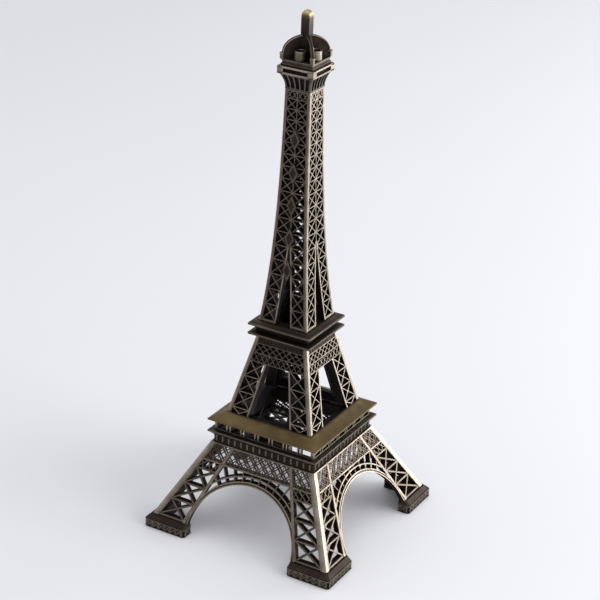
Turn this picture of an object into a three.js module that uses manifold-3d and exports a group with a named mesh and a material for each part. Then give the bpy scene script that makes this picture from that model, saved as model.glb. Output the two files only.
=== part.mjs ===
// Miniature lattice tower souvenir, antique bronze die castings. Millimetres, +Z up.
// The origin is on the floor, on the tower's vertical axis. The front faces -Y.
//
// The tower is a stack of stages. Each stage with a lattice has four thin panels that lean
// inwards and meet in mitred corners. A panel is drawn as a flat elevation in x and z, with
// its openings, and is then leaned back so that its outer face is halfAt(z) from the axis.

import * as THREE from 'three';
import { mergeGeometries, mergeVertices } from 'three/addons/utils/BufferGeometryUtils.js';
import Module from 'manifold-3d';

const wasm = await Module();
wasm.setup();

// ---------------------------------------------------------------- driving dimensions, mm

// Heights of the pieces, from the floor up.
const PLINTH_HEIGHT = 6.4;
const BASE_HEIGHT = 36.3;
const FRIEZE_HEIGHT = 3.5;
const CORNICE_HEIGHT = 2.7;
const GALLERY_HEIGHT = 4.7;
const DECK_HEIGHT = 4.3;
const MIDDLE_HEIGHT = 38.3;
const UPPER_CORNICE_HEIGHT = 2.7;
const UPPER_BAND_HEIGHT = 2.5;
const UPPER_DECK_HEIGHT = 2.6;
const SHAFT_HEIGHT = 111.3;
const CORBEL_HEIGHT = 7.0;
const PLATFORM_HEIGHT = 3.7;
const CROWN_PLINTH_HEIGHT = 2.6;
const CROWN_POST_HEIGHT = 3.0;
const CROWN_ARCH_HEIGHT = 10.9;
const MAST_RISE = 10.5;

// Gaps at the joints between castings.
const SEAT_GAP = 0.1;
const MITRE_GAP = 0.1;

// Feet.
const FOOT_HALF = 50.6;
const FOOT_LENGTH = 22.6;
const FOOT_DEPTH = 6.2;
const FOOT_BLOCK_HEIGHT = 4.2;
const FOOT_STEP_COUNT = 2;
const FOOT_STEP_IN = 1.2;
const FOOT_CHAMFER = 1.0;

// Base stage: panels with legs, an arch and a lattice band.
const LEG_SET_BACK = 0.6;
const LEG_TOE = 1.7;
const BASE_HEAD_HALF = 28.0;
const BASE_WALL = 2.8;
const BASE_CORNER_BAR = 3.0;
const LEG_BAR = 1.6;
const LEG_HEAD_WIDTH = 12.5;
const LEG_CELL_COUNT = 3;
const LEG_DIAGONAL = 1.0;
const LEG_ROW_HEIGHT = 3.9;
const LEG_DIAMOND_COUNT = 3;
const ARCH_CENTRE_Z = 4.0;
const ARCH_SET_IN = 1.3;
const ARCH_HEAD_GAP = 0.8;
const ARCH_RIM = 1.6;
const ARCH_LADDER = 1.7;
const ARCH_MIDDLE_RIM = 0.7;
const ARCH_TIE_PITCH = 4.0;
const ARCH_TIE = 0.8;
const CHORD = 0.7;
const BAND_HEIGHT = 8.4;
const BAND_PITCH = 5.0;
const BAND_SLOPE = 0.86;
const BAND_BAR = 0.85;

// First cornice, gallery and deck.
const FRIEZE_SET_BACK = 0.7;
const CORNICE_OVERHANG = 2.1;
const CORNICE_LIP = 0.7;
const CORNICE_WALL = 2.4;
const GALLERY_SET_BACK = 0.4;
const GALLERY_WALL = 1.4;
const GALLERY_BAY_COUNT = 7;
const GALLERY_POST = 2.8;
const GALLERY_RAIL = 0.6;
const DECK_OVERHANG = 2.5;
const DECK_EDGE = 0.6;
const DECK_SEAT = 2.8;

// Second stage: panels with two columns and a lattice band.
const MIDDLE_FOOT_HALF = 22.7;
const MIDDLE_HEAD_MARGIN = 0.7;
const MIDDLE_WALL = 5.0;
const MIDDLE_CORNER_BAR = 1.9;
const GAP_BAR = 1.0;
const COLUMN_FOOT_WIDTH = 11.5;
const GAP_HEAD_X = 5.9;
const COLUMN_HALF_CELL = 2.7;
const COLUMN_CELL_COUNT = 3;
const COLUMN_DIAGONAL = 0.9;
const MIDDLE_LOWER_BAND_HEIGHT = 4.1;
const MIDDLE_UPPER_BAND_HEIGHT = 4.6;
const MIDDLE_FRIEZE_HEIGHT = 3.3;
const MIDDLE_LOWER_PITCH = 2.9;
const MIDDLE_UPPER_PITCH = 5.2;

// Second deck.
const UPPER_BAND_MARGIN = 1.0;
const UPPER_DECK_OVERHANG = 2.9;
const UPPER_DECK_EDGE = 0.7;
const UPPER_DECK_SEAT = 3.4;
const SHAFT_SEAT_MARGIN = 0.4;

// Shaft: the half width falls from foot to head along an exponential curve.
const SHAFT_FOOT_HALF = 12.75;
const SHAFT_FAR_HALF = 5.65;
const SHAFT_CURVE = 51.0;
const SHAFT_WALL = 3.0;
const SHAFT_CORNER_BAR = 1.6;
const SHAFT_MIDDLE_BAR = 0.9;
const SHAFT_DIAGONAL = 0.7;
const SHAFT_CELL_COUNT = 17;
const SHAFT_CELL_TAPER = 0.62;
const SHAFT_ROW_HEIGHT = 3.4;
const SHAFT_ROW_CELLS = 2;
const SHAFT_GAP_HALF = 3.9;
const SHAFT_GAP_HEIGHT = 40.0;
const SHAFT_RAIL = 0.8;

// Ornaments on the front of the shaft.
const ORNAMENT_COUNT = 5;
const ORNAMENT_DROP = 22.7;
const ORNAMENT_GAP_OVERLAP = 13.2;
const ORNAMENT_HALF_HEIGHT = 5.0;
const ORNAMENT_HALF_WIDTH = 2.6;
const ORNAMENT_DEPTH = 0.7;

// Crown.
const CORBEL_FLARE = 2.05;
const PLATFORM_OVERHANG = 0.7;
const PLATFORM_CORNER = 3.0;
const PLATFORM_SLOT_HEIGHT = 1.7;
const PLATFORM_SLOT_DEPTH = 1.2;
const CROWN_PLINTH_SET_BACK = 1.1;
const CROWN_POST = 2.0;
const CROWN_POST_PROUD = 0.5;
const ARCH_WEB = 1.0;
const MAST_HALF = 2.1;
const MAST_CHAMFER = 1.2;
const MAST_CLEARANCE = 0.15;
const MAST_POCKET_FLOOR = 1.0;
const DRUM_RADIUS = 2.7;
const DRUM_HEIGHT = 4.2;
const DRUM_GAP = 0.25;

// How finely curves are faceted, and how far a cutter runs past what it cuts.
const ARCH_FACETS = 28;
const CORBEL_FACETS = 5;
const CROWN_ARCH_FACETS = 12;
const DRUM_FACETS = 16;
const ARCH_ANGLE_STEP = 0.002;
const CUT_MARGIN = 1.0;
const MERGE_DISTANCE = 1e-4;

// ---------------------------------------------------------------- sizes that follow

// Heights where one piece ends and the next one starts.
const PLINTH_TOP = PLINTH_HEIGHT;
const BASE_TOP = PLINTH_TOP + BASE_HEIGHT;
const FRIEZE_TOP = BASE_TOP + FRIEZE_HEIGHT;
const CORNICE_TOP = FRIEZE_TOP + CORNICE_HEIGHT;
const GALLERY_TOP = CORNICE_TOP + GALLERY_HEIGHT;
const DECK_TOP = GALLERY_TOP + DECK_HEIGHT;
const MIDDLE_TOP = DECK_TOP + MIDDLE_HEIGHT;
const UPPER_CORNICE_TOP = MIDDLE_TOP + UPPER_CORNICE_HEIGHT;
const UPPER_BAND_TOP = UPPER_CORNICE_TOP + UPPER_BAND_HEIGHT;
const UPPER_DECK_TOP = UPPER_BAND_TOP + UPPER_DECK_HEIGHT;
const SHAFT_TOP = UPPER_DECK_TOP + SHAFT_HEIGHT;
const CORBEL_TOP = SHAFT_TOP + CORBEL_HEIGHT;
const PLATFORM_TOP = CORBEL_TOP + PLATFORM_HEIGHT;
const CROWN_PLINTH_TOP = PLATFORM_TOP + CROWN_PLINTH_HEIGHT;
const CROWN_POST_TOP = CROWN_PLINTH_TOP + CROWN_POST_HEIGHT;
const ARCH_CROWN = CROWN_PLINTH_TOP + CROWN_ARCH_HEIGHT;
const MAST_TOP = ARCH_CROWN + MAST_RISE;

// The legs stand on the top step of the feet, and the arch springs beside them.
const BASE_FOOT_HALF = FOOT_HALF - FOOT_STEP_COUNT * FOOT_STEP_IN - LEG_SET_BACK;
const LEG_BAR_FOOT_X = FOOT_HALF - FOOT_LENGTH + LEG_TOE + LEG_BAR / 2;
const LEG_BAR_HEAD_X = BASE_HEAD_HALF - LEG_HEAD_WIDTH;
const BAND_BOTTOM = BASE_TOP - BAND_HEIGHT;
const LEG_CELLS_TOP = BAND_BOTTOM - LEG_ROW_HEIGHT;
const ARCH_BORDER = ARCH_RIM + ARCH_LADDER + ARCH_MIDDLE_RIM;
const ARCH_HALF_SPAN = LEG_BAR_FOOT_X - LEG_BAR / 2 - ARCH_SET_IN;
const ARCH_RISE = BAND_BOTTOM - ARCH_HEAD_GAP - ARCH_BORDER - ARCH_CENTRE_Z;
const ARCH_TIE_ANGLE = ARCH_TIE / ARCH_HALF_SPAN;

// Each deck is as wide as what it stands on. Its rim carries the outer part of the next stage.
const FRIEZE_HALF = BASE_HEAD_HALF - FRIEZE_SET_BACK;
const CORNICE_HALF = FRIEZE_HALF + CORNICE_OVERHANG;
const GALLERY_HALF = FRIEZE_HALF - GALLERY_SET_BACK;
const DECK_HALF = GALLERY_HALF + DECK_OVERHANG;
const DECK_HOLE_HALF = MIDDLE_FOOT_HALF - DECK_SEAT;
const MIDDLE_HEAD_HALF = SHAFT_FOOT_HALF + MIDDLE_HEAD_MARGIN;
const UPPER_BAND_HALF = SHAFT_FOOT_HALF + UPPER_BAND_MARGIN;
const UPPER_DECK_HALF = UPPER_BAND_HALF + UPPER_DECK_OVERHANG;
const UPPER_DECK_HOLE_HALF = SHAFT_FOOT_HALF - UPPER_DECK_SEAT;

const GAP_FOOT_X = MIDDLE_FOOT_HALF - COLUMN_FOOT_WIDTH;
const MIDDLE_UPPER_BAND_TOP = MIDDLE_TOP - MIDDLE_FRIEZE_HEIGHT;
const MIDDLE_LOWER_BAND_TOP = MIDDLE_UPPER_BAND_TOP - MIDDLE_UPPER_BAND_HEIGHT;
const GAP_TOP = MIDDLE_LOWER_BAND_TOP - MIDDLE_LOWER_BAND_HEIGHT;
const COLUMN_HALF_CELL_TOP = DECK_TOP + COLUMN_HALF_CELL;
const SHAFT_GAP_TOP = UPPER_DECK_TOP + SHAFT_GAP_HEIGHT;
const SHAFT_CELLS_TOP = SHAFT_TOP - SHAFT_RAIL - SHAFT_ROW_HEIGHT;
const ORNAMENT_HIGHEST = SHAFT_TOP - ORNAMENT_DROP;
const ORNAMENT_LOWEST = SHAFT_GAP_TOP - ORNAMENT_GAP_OVERLAP;

// The corbel grows out of the shaft's head, and the crown stands on the corbel.
const CORBEL_FOOT_HALF = shaftHalf(SHAFT_TOP);
const CORBEL_HEAD_HALF = CORBEL_FOOT_HALF + CORBEL_FLARE;
const PLATFORM_HALF = CORBEL_HEAD_HALF + PLATFORM_OVERHANG;
const CROWN_PLINTH_HALF = PLATFORM_HALF - CROWN_PLINTH_SET_BACK;
const CROWN_POST_OUTER = CROWN_PLINTH_HALF + CROWN_POST_PROUD;
const ARCH_FOOT_RADIUS = (CROWN_POST_OUTER - CROWN_POST / 2) * Math.SQRT2;
const DRUM_PLACE = (DRUM_RADIUS + ARCH_WEB / 2 + DRUM_GAP) * Math.SQRT2;

const BRONZE = { color: 0x5a4a38, roughness: 0.45, metalness: 0.9 };
const BRASS = { color: 0x8a7340, roughness: 0.4, metalness: 0.95 };
const DARK_BRONZE = { color: 0x2c2620, roughness: 0.6, metalness: 0.8 };

const SIDES = ['front', 'right', 'back', 'left'];
const CORNERS = ['front_left', 'front_right', 'back_right', 'back_left'];
const QUARTER_TURN = Math.PI / 2;

const tower = new THREE.Group();

// ---------------------------------------------------------------- helpers

function place(name, geometry, look, parent = tower) {
  const mesh = new THREE.Mesh(geometry, new THREE.MeshStandardMaterial(look));
  mesh.name = name;
  parent.add(mesh);
  return mesh;
}

// A group turned about the tower's axis, one quarter turn for each side.
function sideGroup(index) {
  const group = new THREE.Group();
  group.rotation.z = index * QUARTER_TURN;
  tower.add(group);
  return group;
}

function lerp(from, to, share) {
  return from + (to - from) * share;
}

// The value at z of a straight line through (z0, v0) and (z1, v1).
function lineAt(z, z0, v0, z1, v1) {
  return lerp(v0, v1, (z - z0) / (z1 - z0));
}

// Places on both sides of the middle, from half a pitch out to the limit.
function centredPlaces(pitch, limit) {
  const places = [];
  for (let x = pitch / 2; x <= limit; x += pitch) {
    places.push(x, -x);
  }
  return places;
}

// Moves each edge of a convex outline inwards and returns the smaller outline.
function insetOutline(points, distances) {
  const count = points.length;
  const edges = points.map(([x, z], i) => {
    const [nextX, nextZ] = points[(i + 1) % count];
    const length = Math.hypot(nextX - x, nextZ - z);
    const distance = Array.isArray(distances) ? distances[i] : distances;
    const along = [(nextX - x) / length, (nextZ - z) / length];
    const start = [x - along[1] * distance, z + along[0] * distance];
    return { along, start };
  });
  return edges.map((edge, i) => {
    const before = edges[(i + count - 1) % count];
    const cross = before.along[0] * edge.along[1] - before.along[1] * edge.along[0];
    const offsetX = edge.start[0] - before.start[0];
    const offsetZ = edge.start[1] - before.start[1];
    const reach = (offsetX * edge.along[1] - offsetZ * edge.along[0]) / cross;
    return [before.start[0] + before.along[0] * reach, before.start[1] + before.along[1] * reach];
  });
}

function mirrored(points) {
  return points.map(([x, z]) => [-x, z]).reverse();
}

// The four openings between the two diagonals of a cell. The corners run anticlockwise
// from the lower left, and every bar of the cell's own frame is already outside them.
function crossedOpenings([lowLeft, lowRight, highRight, highLeft], diagonal) {
  const middle = crossing(lowLeft, highRight, lowRight, highLeft);
  const half = diagonal / 2;
  return [
    [lowLeft, lowRight, middle],
    [lowRight, highRight, middle],
    [highRight, highLeft, middle],
    [highLeft, lowLeft, middle],
  ].map((triangle) => insetOutline(triangle, [0, half, half]));
}

function crossing(a, b, c, d) {
  const abX = b[0] - a[0];
  const abZ = b[1] - a[1];
  const cdX = d[0] - c[0];
  const cdZ = d[1] - c[1];
  const cross = abX * cdZ - abZ * cdX;
  const share = ((c[0] - a[0]) * cdZ - (c[1] - a[1]) * cdX) / cross;
  return [a[0] + abX * share, a[1] + abZ * share];
}

function diamond(x, z, halfWidth, halfHeight) {
  return [[x - halfWidth, z], [x, z - halfHeight], [x + halfWidth, z], [x, z + halfHeight]];
}

// A prism along Y over an elevation outline, from the axis plane out to the given depth.
function elevationPrism(points, depth) {
  const shape = new THREE.Shape(points.map(([x, z]) => new THREE.Vector2(x, z)));
  return new THREE.ExtrudeGeometry(shape, { depth, bevelEnabled: false }).rotateX(QUARTER_TURN);
}

// A plate on the front side that follows halfAt through the levels, with mitred sides.
function mitredPlate(levels, halfAt, wall) {
  const positions = [];
  const index = [];
  for (const z of levels) {
    const outer = halfAt(z);
    const side = outer - MITRE_GAP;
    positions.push(-side, -outer, z);
    positions.push(side, -outer, z);
    positions.push(side - wall, wall - outer, z);
    positions.push(wall - side, wall - outer, z);
  }
  const last = 4 * (levels.length - 1);
  for (let row = 0; row < last; row += 4) {
    for (let i = 0; i < 4; i++) {
      const next = (i + 1) % 4;
      index.push(row + i, row + next, row + 4 + next);
      index.push(row + i, row + 4 + next, row + 4 + i);
    }
  }
  index.push(0, 2, 1, 0, 3, 2);
  index.push(last, last + 1, last + 2, last, last + 2, last + 3);
  const geometry = new THREE.BufferGeometry();
  geometry.setAttribute('position', new THREE.Float32BufferAttribute(positions, 3));
  geometry.setIndex(index);
  return geometry;
}

// One panel: a mitred plate with every opening of its elevation cut through it.
function leaningPanel(levels, openings, halfAt, wall) {
  const reach = halfAt(levels[0]) + CUT_MARGIN;
  const cutters = openings.map((opening) => elevationPrism(opening, reach));
  const plate = toSolid(mitredPlate(levels, halfAt, wall));
  return toGeometry(plate.subtract(toSolid(mergeGeometries(cutters))));
}

// A closed square ring or block: the profile is a list of [half width, z].
function squareTurned(profile) {
  const points = profile.map(([half, z]) => new THREE.Vector2(half * Math.SQRT2, z));
  const geometry = new THREE.LatheGeometry(points, 4, Math.PI / 4);
  return geometry.rotateX(QUARTER_TURN);
}

function ringProfile(outer, holeHalf) {
  const bottom = outer[0][1];
  const top = outer[outer.length - 1][1];
  return [[holeHalf, bottom], ...outer, [holeHalf, top], [holeHalf, bottom]];
}

function blockProfile(outer) {
  const bottom = outer[0][1];
  const top = outer[outer.length - 1][1];
  return [[0, bottom], ...outer, [0, top]];
}

function toSolid(geometry) {
  const bare = geometry.clone();
  bare.deleteAttribute('normal');
  bare.deleteAttribute('uv');
  const merged = mergeVertices(bare, MERGE_DISTANCE);
  const vertProperties = new Float32Array(merged.getAttribute('position').array);
  const triVerts = new Uint32Array(merged.getIndex().array);
  return new wasm.Manifold(new wasm.Mesh({ numProp: 3, vertProperties, triVerts }));
}

function toGeometry(solid) {
  const mesh = solid.getMesh();
  const geometry = new THREE.BufferGeometry();
  geometry.setAttribute('position', new THREE.BufferAttribute(mesh.vertProperties, 3));
  geometry.setIndex(new THREE.BufferAttribute(mesh.triVerts, 1));
  geometry.computeVertexNormals();
  return geometry;
}

function boxBetween(low, high) {
  const size = high.map((value, i) => value - low[i]);
  const geometry = new THREE.BoxGeometry(...size);
  return geometry.translate(...low.map((value, i) => value + size[i] / 2));
}

// ---------------------------------------------------------------- feet

// An L in plan, its outer corner at (half, half), with chamfered ends and corner.
function footLevel(half, armEnd, top) {
  const inner = FOOT_HALF - FOOT_DEPTH;
  const cut = FOOT_CHAMFER;
  const shape = new THREE.Shape([
    new THREE.Vector2(inner, armEnd),
    new THREE.Vector2(half - cut, armEnd),
    new THREE.Vector2(half, armEnd + cut),
    new THREE.Vector2(half, half - cut),
    new THREE.Vector2(half - cut, half),
    new THREE.Vector2(armEnd + cut, half),
    new THREE.Vector2(armEnd, half - cut),
    new THREE.Vector2(armEnd, inner),
    new THREE.Vector2(inner, inner),
  ]);
  return new THREE.ExtrudeGeometry(shape, { depth: top, bevelEnabled: false });
}

function footPlinth() {
  const armEnd = FOOT_HALF - FOOT_LENGTH;
  let solid = toSolid(footLevel(FOOT_HALF, armEnd, FOOT_BLOCK_HEIGHT));
  const rise = (PLINTH_TOP - FOOT_BLOCK_HEIGHT) / FOOT_STEP_COUNT;
  for (let step = 1; step <= FOOT_STEP_COUNT; step++) {
    const top = FOOT_BLOCK_HEIGHT + step * rise;
    const level = footLevel(FOOT_HALF - step * FOOT_STEP_IN, armEnd, top);
    solid = solid.add(toSolid(level));
  }
  return toGeometry(solid);
}

function addFeet() {
  const geometry = footPlinth();
  CORNERS.forEach((corner, i) => {
    const group = sideGroup(i + 2);
    place(`foot_plinth_${corner}`, geometry, BRONZE, group);
  });
}

// ---------------------------------------------------------------- base stage

function baseHalf(z) {
  return lineAt(z, PLINTH_TOP, BASE_FOOT_HALF, BASE_TOP, BASE_HEAD_HALF);
}

function legBarX(z) {
  return lineAt(z, PLINTH_TOP, LEG_BAR_FOOT_X, BASE_TOP, LEG_BAR_HEAD_X);
}

// A point on an ellipse of the arch, at the given distance outside the intrados.
function archPoint(angle, outside) {
  const x = (ARCH_HALF_SPAN + outside) * Math.cos(angle);
  return [x, ARCH_CENTRE_Z + (ARCH_RISE + outside) * Math.sin(angle)];
}

// The angles of the arch's ties, spaced by equal steps along the intrados.
function archTieAngles() {
  const angles = [];
  let length = ARCH_TIE_PITCH / 2;
  for (let angle = Math.PI / 2; angle > 0; angle -= ARCH_ANGLE_STEP) {
    const speed = Math.hypot(ARCH_HALF_SPAN * Math.sin(angle), ARCH_RISE * Math.cos(angle));
    length += speed * ARCH_ANGLE_STEP;
    if (length >= ARCH_TIE_PITCH) {
      length -= ARCH_TIE_PITCH;
      angles.push(angle);
    }
  }
  return angles;
}

function ladderOpening(from, to) {
  const low = ARCH_RIM;
  const high = ARCH_RIM + ARCH_LADDER;
  const trim = ARCH_TIE_ANGLE / 2;
  return [
    archPoint(from - trim, low),
    archPoint(from - trim, high),
    archPoint(to + trim, high),
    archPoint(to + trim, low),
  ];
}

// Where a ray of the arch meets the band's bottom chord or the leg bar, whichever is first.
function spandrelReach(angle) {
  const start = archPoint(angle, ARCH_BORDER);
  const centre = [0, ARCH_CENTRE_Z];
  const along = [start[0] - centre[0], start[1] - centre[1]];
  const toChord = (BAND_BOTTOM - start[1]) / along[1];
  const chordPoint = [start[0] + along[0] * toChord, BAND_BOTTOM];
  const barAt = (z) => legBarX(z) - LEG_BAR / 2;
  if (chordPoint[0] < barAt(BAND_BOTTOM)) {
    return { point: chordPoint, onChord: true };
  }
  const low = [barAt(PLINTH_TOP), PLINTH_TOP];
  const high = [barAt(BASE_TOP), BASE_TOP];
  return { point: crossing(centre, start, low, high), onChord: false };
}

function spandrelOpening(from, to) {
  const start = from - ARCH_TIE_ANGLE / 2;
  const end = to + ARCH_TIE_ANGLE / 2;
  const first = spandrelReach(start);
  const last = spandrelReach(end);
  const points = [archPoint(end, ARCH_BORDER), last.point];
  if (first.onChord && !last.onChord) {
    points.push([legBarX(BAND_BOTTOM) - LEG_BAR / 2, BAND_BOTTOM]);
  }
  points.push(first.point, archPoint(start, ARCH_BORDER));
  return points;
}

function archOpenings() {
  const openings = [];
  const angles = archTieAngles();
  for (let i = 0; i + 1 < angles.length; i++) {
    const [x, z] = archPoint(angles[i + 1], ARCH_BORDER);
    if (x > legBarX(z) - LEG_BAR / 2) {
      break;
    }
    const ladder = ladderOpening(angles[i], angles[i + 1]);
    const spandrel = spandrelOpening(angles[i], angles[i + 1]);
    openings.push(ladder, mirrored(ladder), spandrel, mirrored(spandrel));
  }
  const crownLadder = ladderOpening(Math.PI - angles[0], angles[0]);
  const middle = archPoint(Math.PI / 2, ARCH_BORDER);
  const [edgeX, edgeZ] = archPoint(angles[0] + ARCH_TIE_ANGLE / 2, ARCH_BORDER);
  const corners = [[edgeX, BAND_BOTTOM], [-edgeX, BAND_BOTTOM]];
  openings.push(crownLadder, [[-edgeX, edgeZ], middle, [edgeX, edgeZ], ...corners]);
  return openings;
}

function legOpenings() {
  const openings = [];
  const outerAt = (z) => baseHalf(z) - BASE_CORNER_BAR;
  const innerAt = (z) => legBarX(z) + LEG_BAR / 2;
  const cellHeight = (LEG_CELLS_TOP - PLINTH_TOP) / LEG_CELL_COUNT;
  for (let i = 0; i < LEG_CELL_COUNT; i++) {
    const low = PLINTH_TOP + i * cellHeight + LEG_DIAGONAL / 2;
    const high = PLINTH_TOP + (i + 1) * cellHeight - LEG_DIAGONAL / 2;
    const corners = [
      [innerAt(low), low],
      [outerAt(low), low],
      [outerAt(high), high],
      [innerAt(high), high],
    ];
    openings.push(...crossedOpenings(corners, LEG_DIAGONAL));
  }
  const rowMiddle = (LEG_CELLS_TOP + BAND_BOTTOM) / 2;
  const rowHalf = (BAND_BOTTOM - LEG_CELLS_TOP) / 2 - BAND_BAR / 2;
  const pitch = (outerAt(rowMiddle) - innerAt(rowMiddle)) / LEG_DIAMOND_COUNT;
  for (let i = 0; i < LEG_DIAMOND_COUNT; i++) {
    const x = innerAt(rowMiddle) + (i + 0.5) * pitch;
    openings.push(diamond(x, rowMiddle, (pitch - BAND_BAR) / 2, rowHalf));
  }
  return openings.flatMap((opening) => [opening, mirrored(opening)]);
}

function bandOpenings() {
  const low = BAND_BOTTOM + CHORD;
  const high = BASE_TOP - CHORD;
  const middle = (low + high) / 2;
  const barHalfWidth = BAND_BAR / 2 / Math.sin(Math.atan(BAND_SLOPE));
  const halfWidth = BAND_PITCH / 2 - barHalfWidth;
  const openings = [];
  for (const x of centredPlaces(BAND_PITCH, baseHalf(middle) - BASE_CORNER_BAR - halfWidth)) {
    const barGap = Math.abs(Math.abs(x) - legBarX(middle));
    if (barGap > halfWidth + LEG_BAR / 2) {
      openings.push(diamond(x, middle, halfWidth, halfWidth * BAND_SLOPE));
    }
  }
  return openings;
}

// The space under the arch, open at the floor.
function archOutline() {
  const outline = [];
  for (let i = 0; i <= ARCH_FACETS; i++) {
    outline.push(archPoint((Math.PI * i) / ARCH_FACETS, 0));
  }
  outline.push([-ARCH_HALF_SPAN, 0], [ARCH_HALF_SPAN, 0]);
  return outline;
}

function basePanel() {
  const levels = [PLINTH_TOP + SEAT_GAP, BASE_TOP - SEAT_GAP];
  const openings = [archOutline(), ...legOpenings(), ...archOpenings(), ...bandOpenings()];
  return leaningPanel(levels, openings, baseHalf, BASE_WALL);
}

function addBase() {
  const geometry = basePanel();
  SIDES.forEach((side, i) => place(`base_panel_${side}`, geometry, BRONZE, sideGroup(i)));
}

// ---------------------------------------------------------------- first cornice to deck

function addFirstDeck() {
  const cornice = ringProfile(
    [
      [FRIEZE_HALF, BASE_TOP],
      [FRIEZE_HALF, FRIEZE_TOP],
      [CORNICE_HALF, CORNICE_TOP - SEAT_GAP - CORNICE_LIP],
      [CORNICE_HALF, CORNICE_TOP - SEAT_GAP],
    ],
    FRIEZE_HALF - CORNICE_WALL,
  );
  place('first_cornice', squareTurned(cornice), BRONZE);

  const geometry = galleryWall();
  SIDES.forEach((side, i) => place(`gallery_wall_${side}`, geometry, BRONZE, sideGroup(i)));

  const deck = ringProfile(
    [
      [GALLERY_HALF, GALLERY_TOP],
      [DECK_HALF, GALLERY_TOP + DECK_EDGE],
      [DECK_HALF, GALLERY_TOP + 2 * DECK_EDGE],
      [MIDDLE_FOOT_HALF, DECK_TOP],
    ],
    DECK_HOLE_HALF,
  );
  place('first_deck_plate', squareTurned(deck), BRASS);
}

function galleryWall() {
  const bottom = CORNICE_TOP;
  const top = GALLERY_TOP - SEAT_GAP;
  const low = bottom + GALLERY_RAIL;
  const high = top - GALLERY_RAIL;
  const pitch = (2 * GALLERY_HALF) / GALLERY_BAY_COUNT;
  const halfWidth = (pitch - GALLERY_POST) / 2;
  const openings = [];
  for (let i = 0; i < GALLERY_BAY_COUNT; i++) {
    const left = -GALLERY_HALF + (i + 0.5) * pitch - halfWidth;
    const right = left + 2 * halfWidth;
    openings.push([[left, low], [right, low], [right, high], [left, high]]);
  }
  return leaningPanel([bottom, top], openings, () => GALLERY_HALF, GALLERY_WALL);
}

// ---------------------------------------------------------------- second stage

function middleHalf(z) {
  return lineAt(z, DECK_TOP, MIDDLE_FOOT_HALF, MIDDLE_TOP, MIDDLE_HEAD_HALF);
}

function gapX(z) {
  return lineAt(z, DECK_TOP, GAP_FOOT_X, GAP_TOP, GAP_HEAD_X);
}

function columnOpenings() {
  const openings = [];
  const outerAt = (z) => middleHalf(z) - MIDDLE_CORNER_BAR;
  const innerAt = (z) => gapX(z) + GAP_BAR;
  const cellHeight = (GAP_TOP - COLUMN_HALF_CELL_TOP) / COLUMN_CELL_COUNT;
  const half = COLUMN_DIAGONAL / 2;
  for (let i = 0; i < COLUMN_CELL_COUNT; i++) {
    const low = COLUMN_HALF_CELL_TOP + i * cellHeight + half;
    const high = COLUMN_HALF_CELL_TOP + (i + 1) * cellHeight - half;
    const corners = [
      [innerAt(low), low],
      [outerAt(low), low],
      [outerAt(high), high],
      [innerAt(high), high],
    ];
    openings.push(...crossedOpenings(corners, COLUMN_DIAGONAL));
  }
  const low = DECK_TOP + COLUMN_DIAGONAL;
  const high = COLUMN_HALF_CELL_TOP - half;
  const middle = (innerAt(high) + outerAt(high)) / 2;
  const upper = [[middle, low], [outerAt(high), high], [innerAt(high), high]];
  openings.push(insetOutline(upper, [half, 0, half]));
  return openings.flatMap((opening) => [opening, mirrored(opening)]);
}

function middleBandOpenings() {
  const bands = [
    [GAP_TOP, MIDDLE_LOWER_BAND_TOP, MIDDLE_LOWER_PITCH],
    [MIDDLE_LOWER_BAND_TOP, MIDDLE_UPPER_BAND_TOP, MIDDLE_UPPER_PITCH],
  ];
  const openings = [];
  for (const [bottom, top, pitch] of bands) {
    const middle = (bottom + top) / 2;
    const halfHeight = (top - bottom) / 2 - COLUMN_DIAGONAL / 2;
    const halfWidth = (pitch - COLUMN_DIAGONAL) / 2;
    const limit = middleHalf(middle) - MIDDLE_CORNER_BAR - halfWidth;
    for (const x of centredPlaces(pitch, limit)) {
      openings.push(diamond(x, middle, halfWidth, halfHeight));
    }
  }
  return openings;
}

// The gap between the two columns, open at the deck.
function middleGap() {
  const footX = gapX(DECK_TOP);
  return [[-footX, DECK_TOP], [footX, DECK_TOP], [GAP_HEAD_X, GAP_TOP], [-GAP_HEAD_X, GAP_TOP]];
}

function middlePanel() {
  const levels = [DECK_TOP + SEAT_GAP, MIDDLE_TOP - SEAT_GAP];
  const openings = [middleGap(), ...columnOpenings(), ...middleBandOpenings()];
  return leaningPanel(levels, openings, middleHalf, MIDDLE_WALL);
}

function addMiddle() {
  const geometry = middlePanel();
  SIDES.forEach((side, i) => place(`middle_panel_${side}`, geometry, BRONZE, sideGroup(i)));
}

// ---------------------------------------------------------------- second deck

function addSecondDeck() {
  const corniceTop = UPPER_CORNICE_TOP - SEAT_GAP;
  const cornice = [
    [MIDDLE_HEAD_HALF, MIDDLE_TOP],
    [UPPER_DECK_HALF, corniceTop - 2 * UPPER_DECK_EDGE],
    [UPPER_DECK_HALF, corniceTop - UPPER_DECK_EDGE],
    [UPPER_BAND_HALF, corniceTop],
  ];
  place('second_deck_cornice', squareTurned(ringProfile(cornice, UPPER_DECK_HOLE_HALF)), BRONZE);

  const bandTop = UPPER_BAND_TOP - SEAT_GAP;
  const band = [[UPPER_BAND_HALF, UPPER_CORNICE_TOP], [UPPER_BAND_HALF, bandTop]];
  place('second_deck_band', squareTurned(ringProfile(band, UPPER_DECK_HOLE_HALF)), DARK_BRONZE);

  const plate = [
    [UPPER_BAND_HALF, UPPER_BAND_TOP],
    [UPPER_DECK_HALF, UPPER_BAND_TOP + UPPER_DECK_EDGE],
    [UPPER_DECK_HALF, UPPER_BAND_TOP + 2 * UPPER_DECK_EDGE],
    [SHAFT_FOOT_HALF + SHAFT_SEAT_MARGIN, UPPER_DECK_TOP],
  ];
  place('second_deck_plate', squareTurned(ringProfile(plate, UPPER_DECK_HOLE_HALF)), BRONZE);
}

// ---------------------------------------------------------------- shaft

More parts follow.
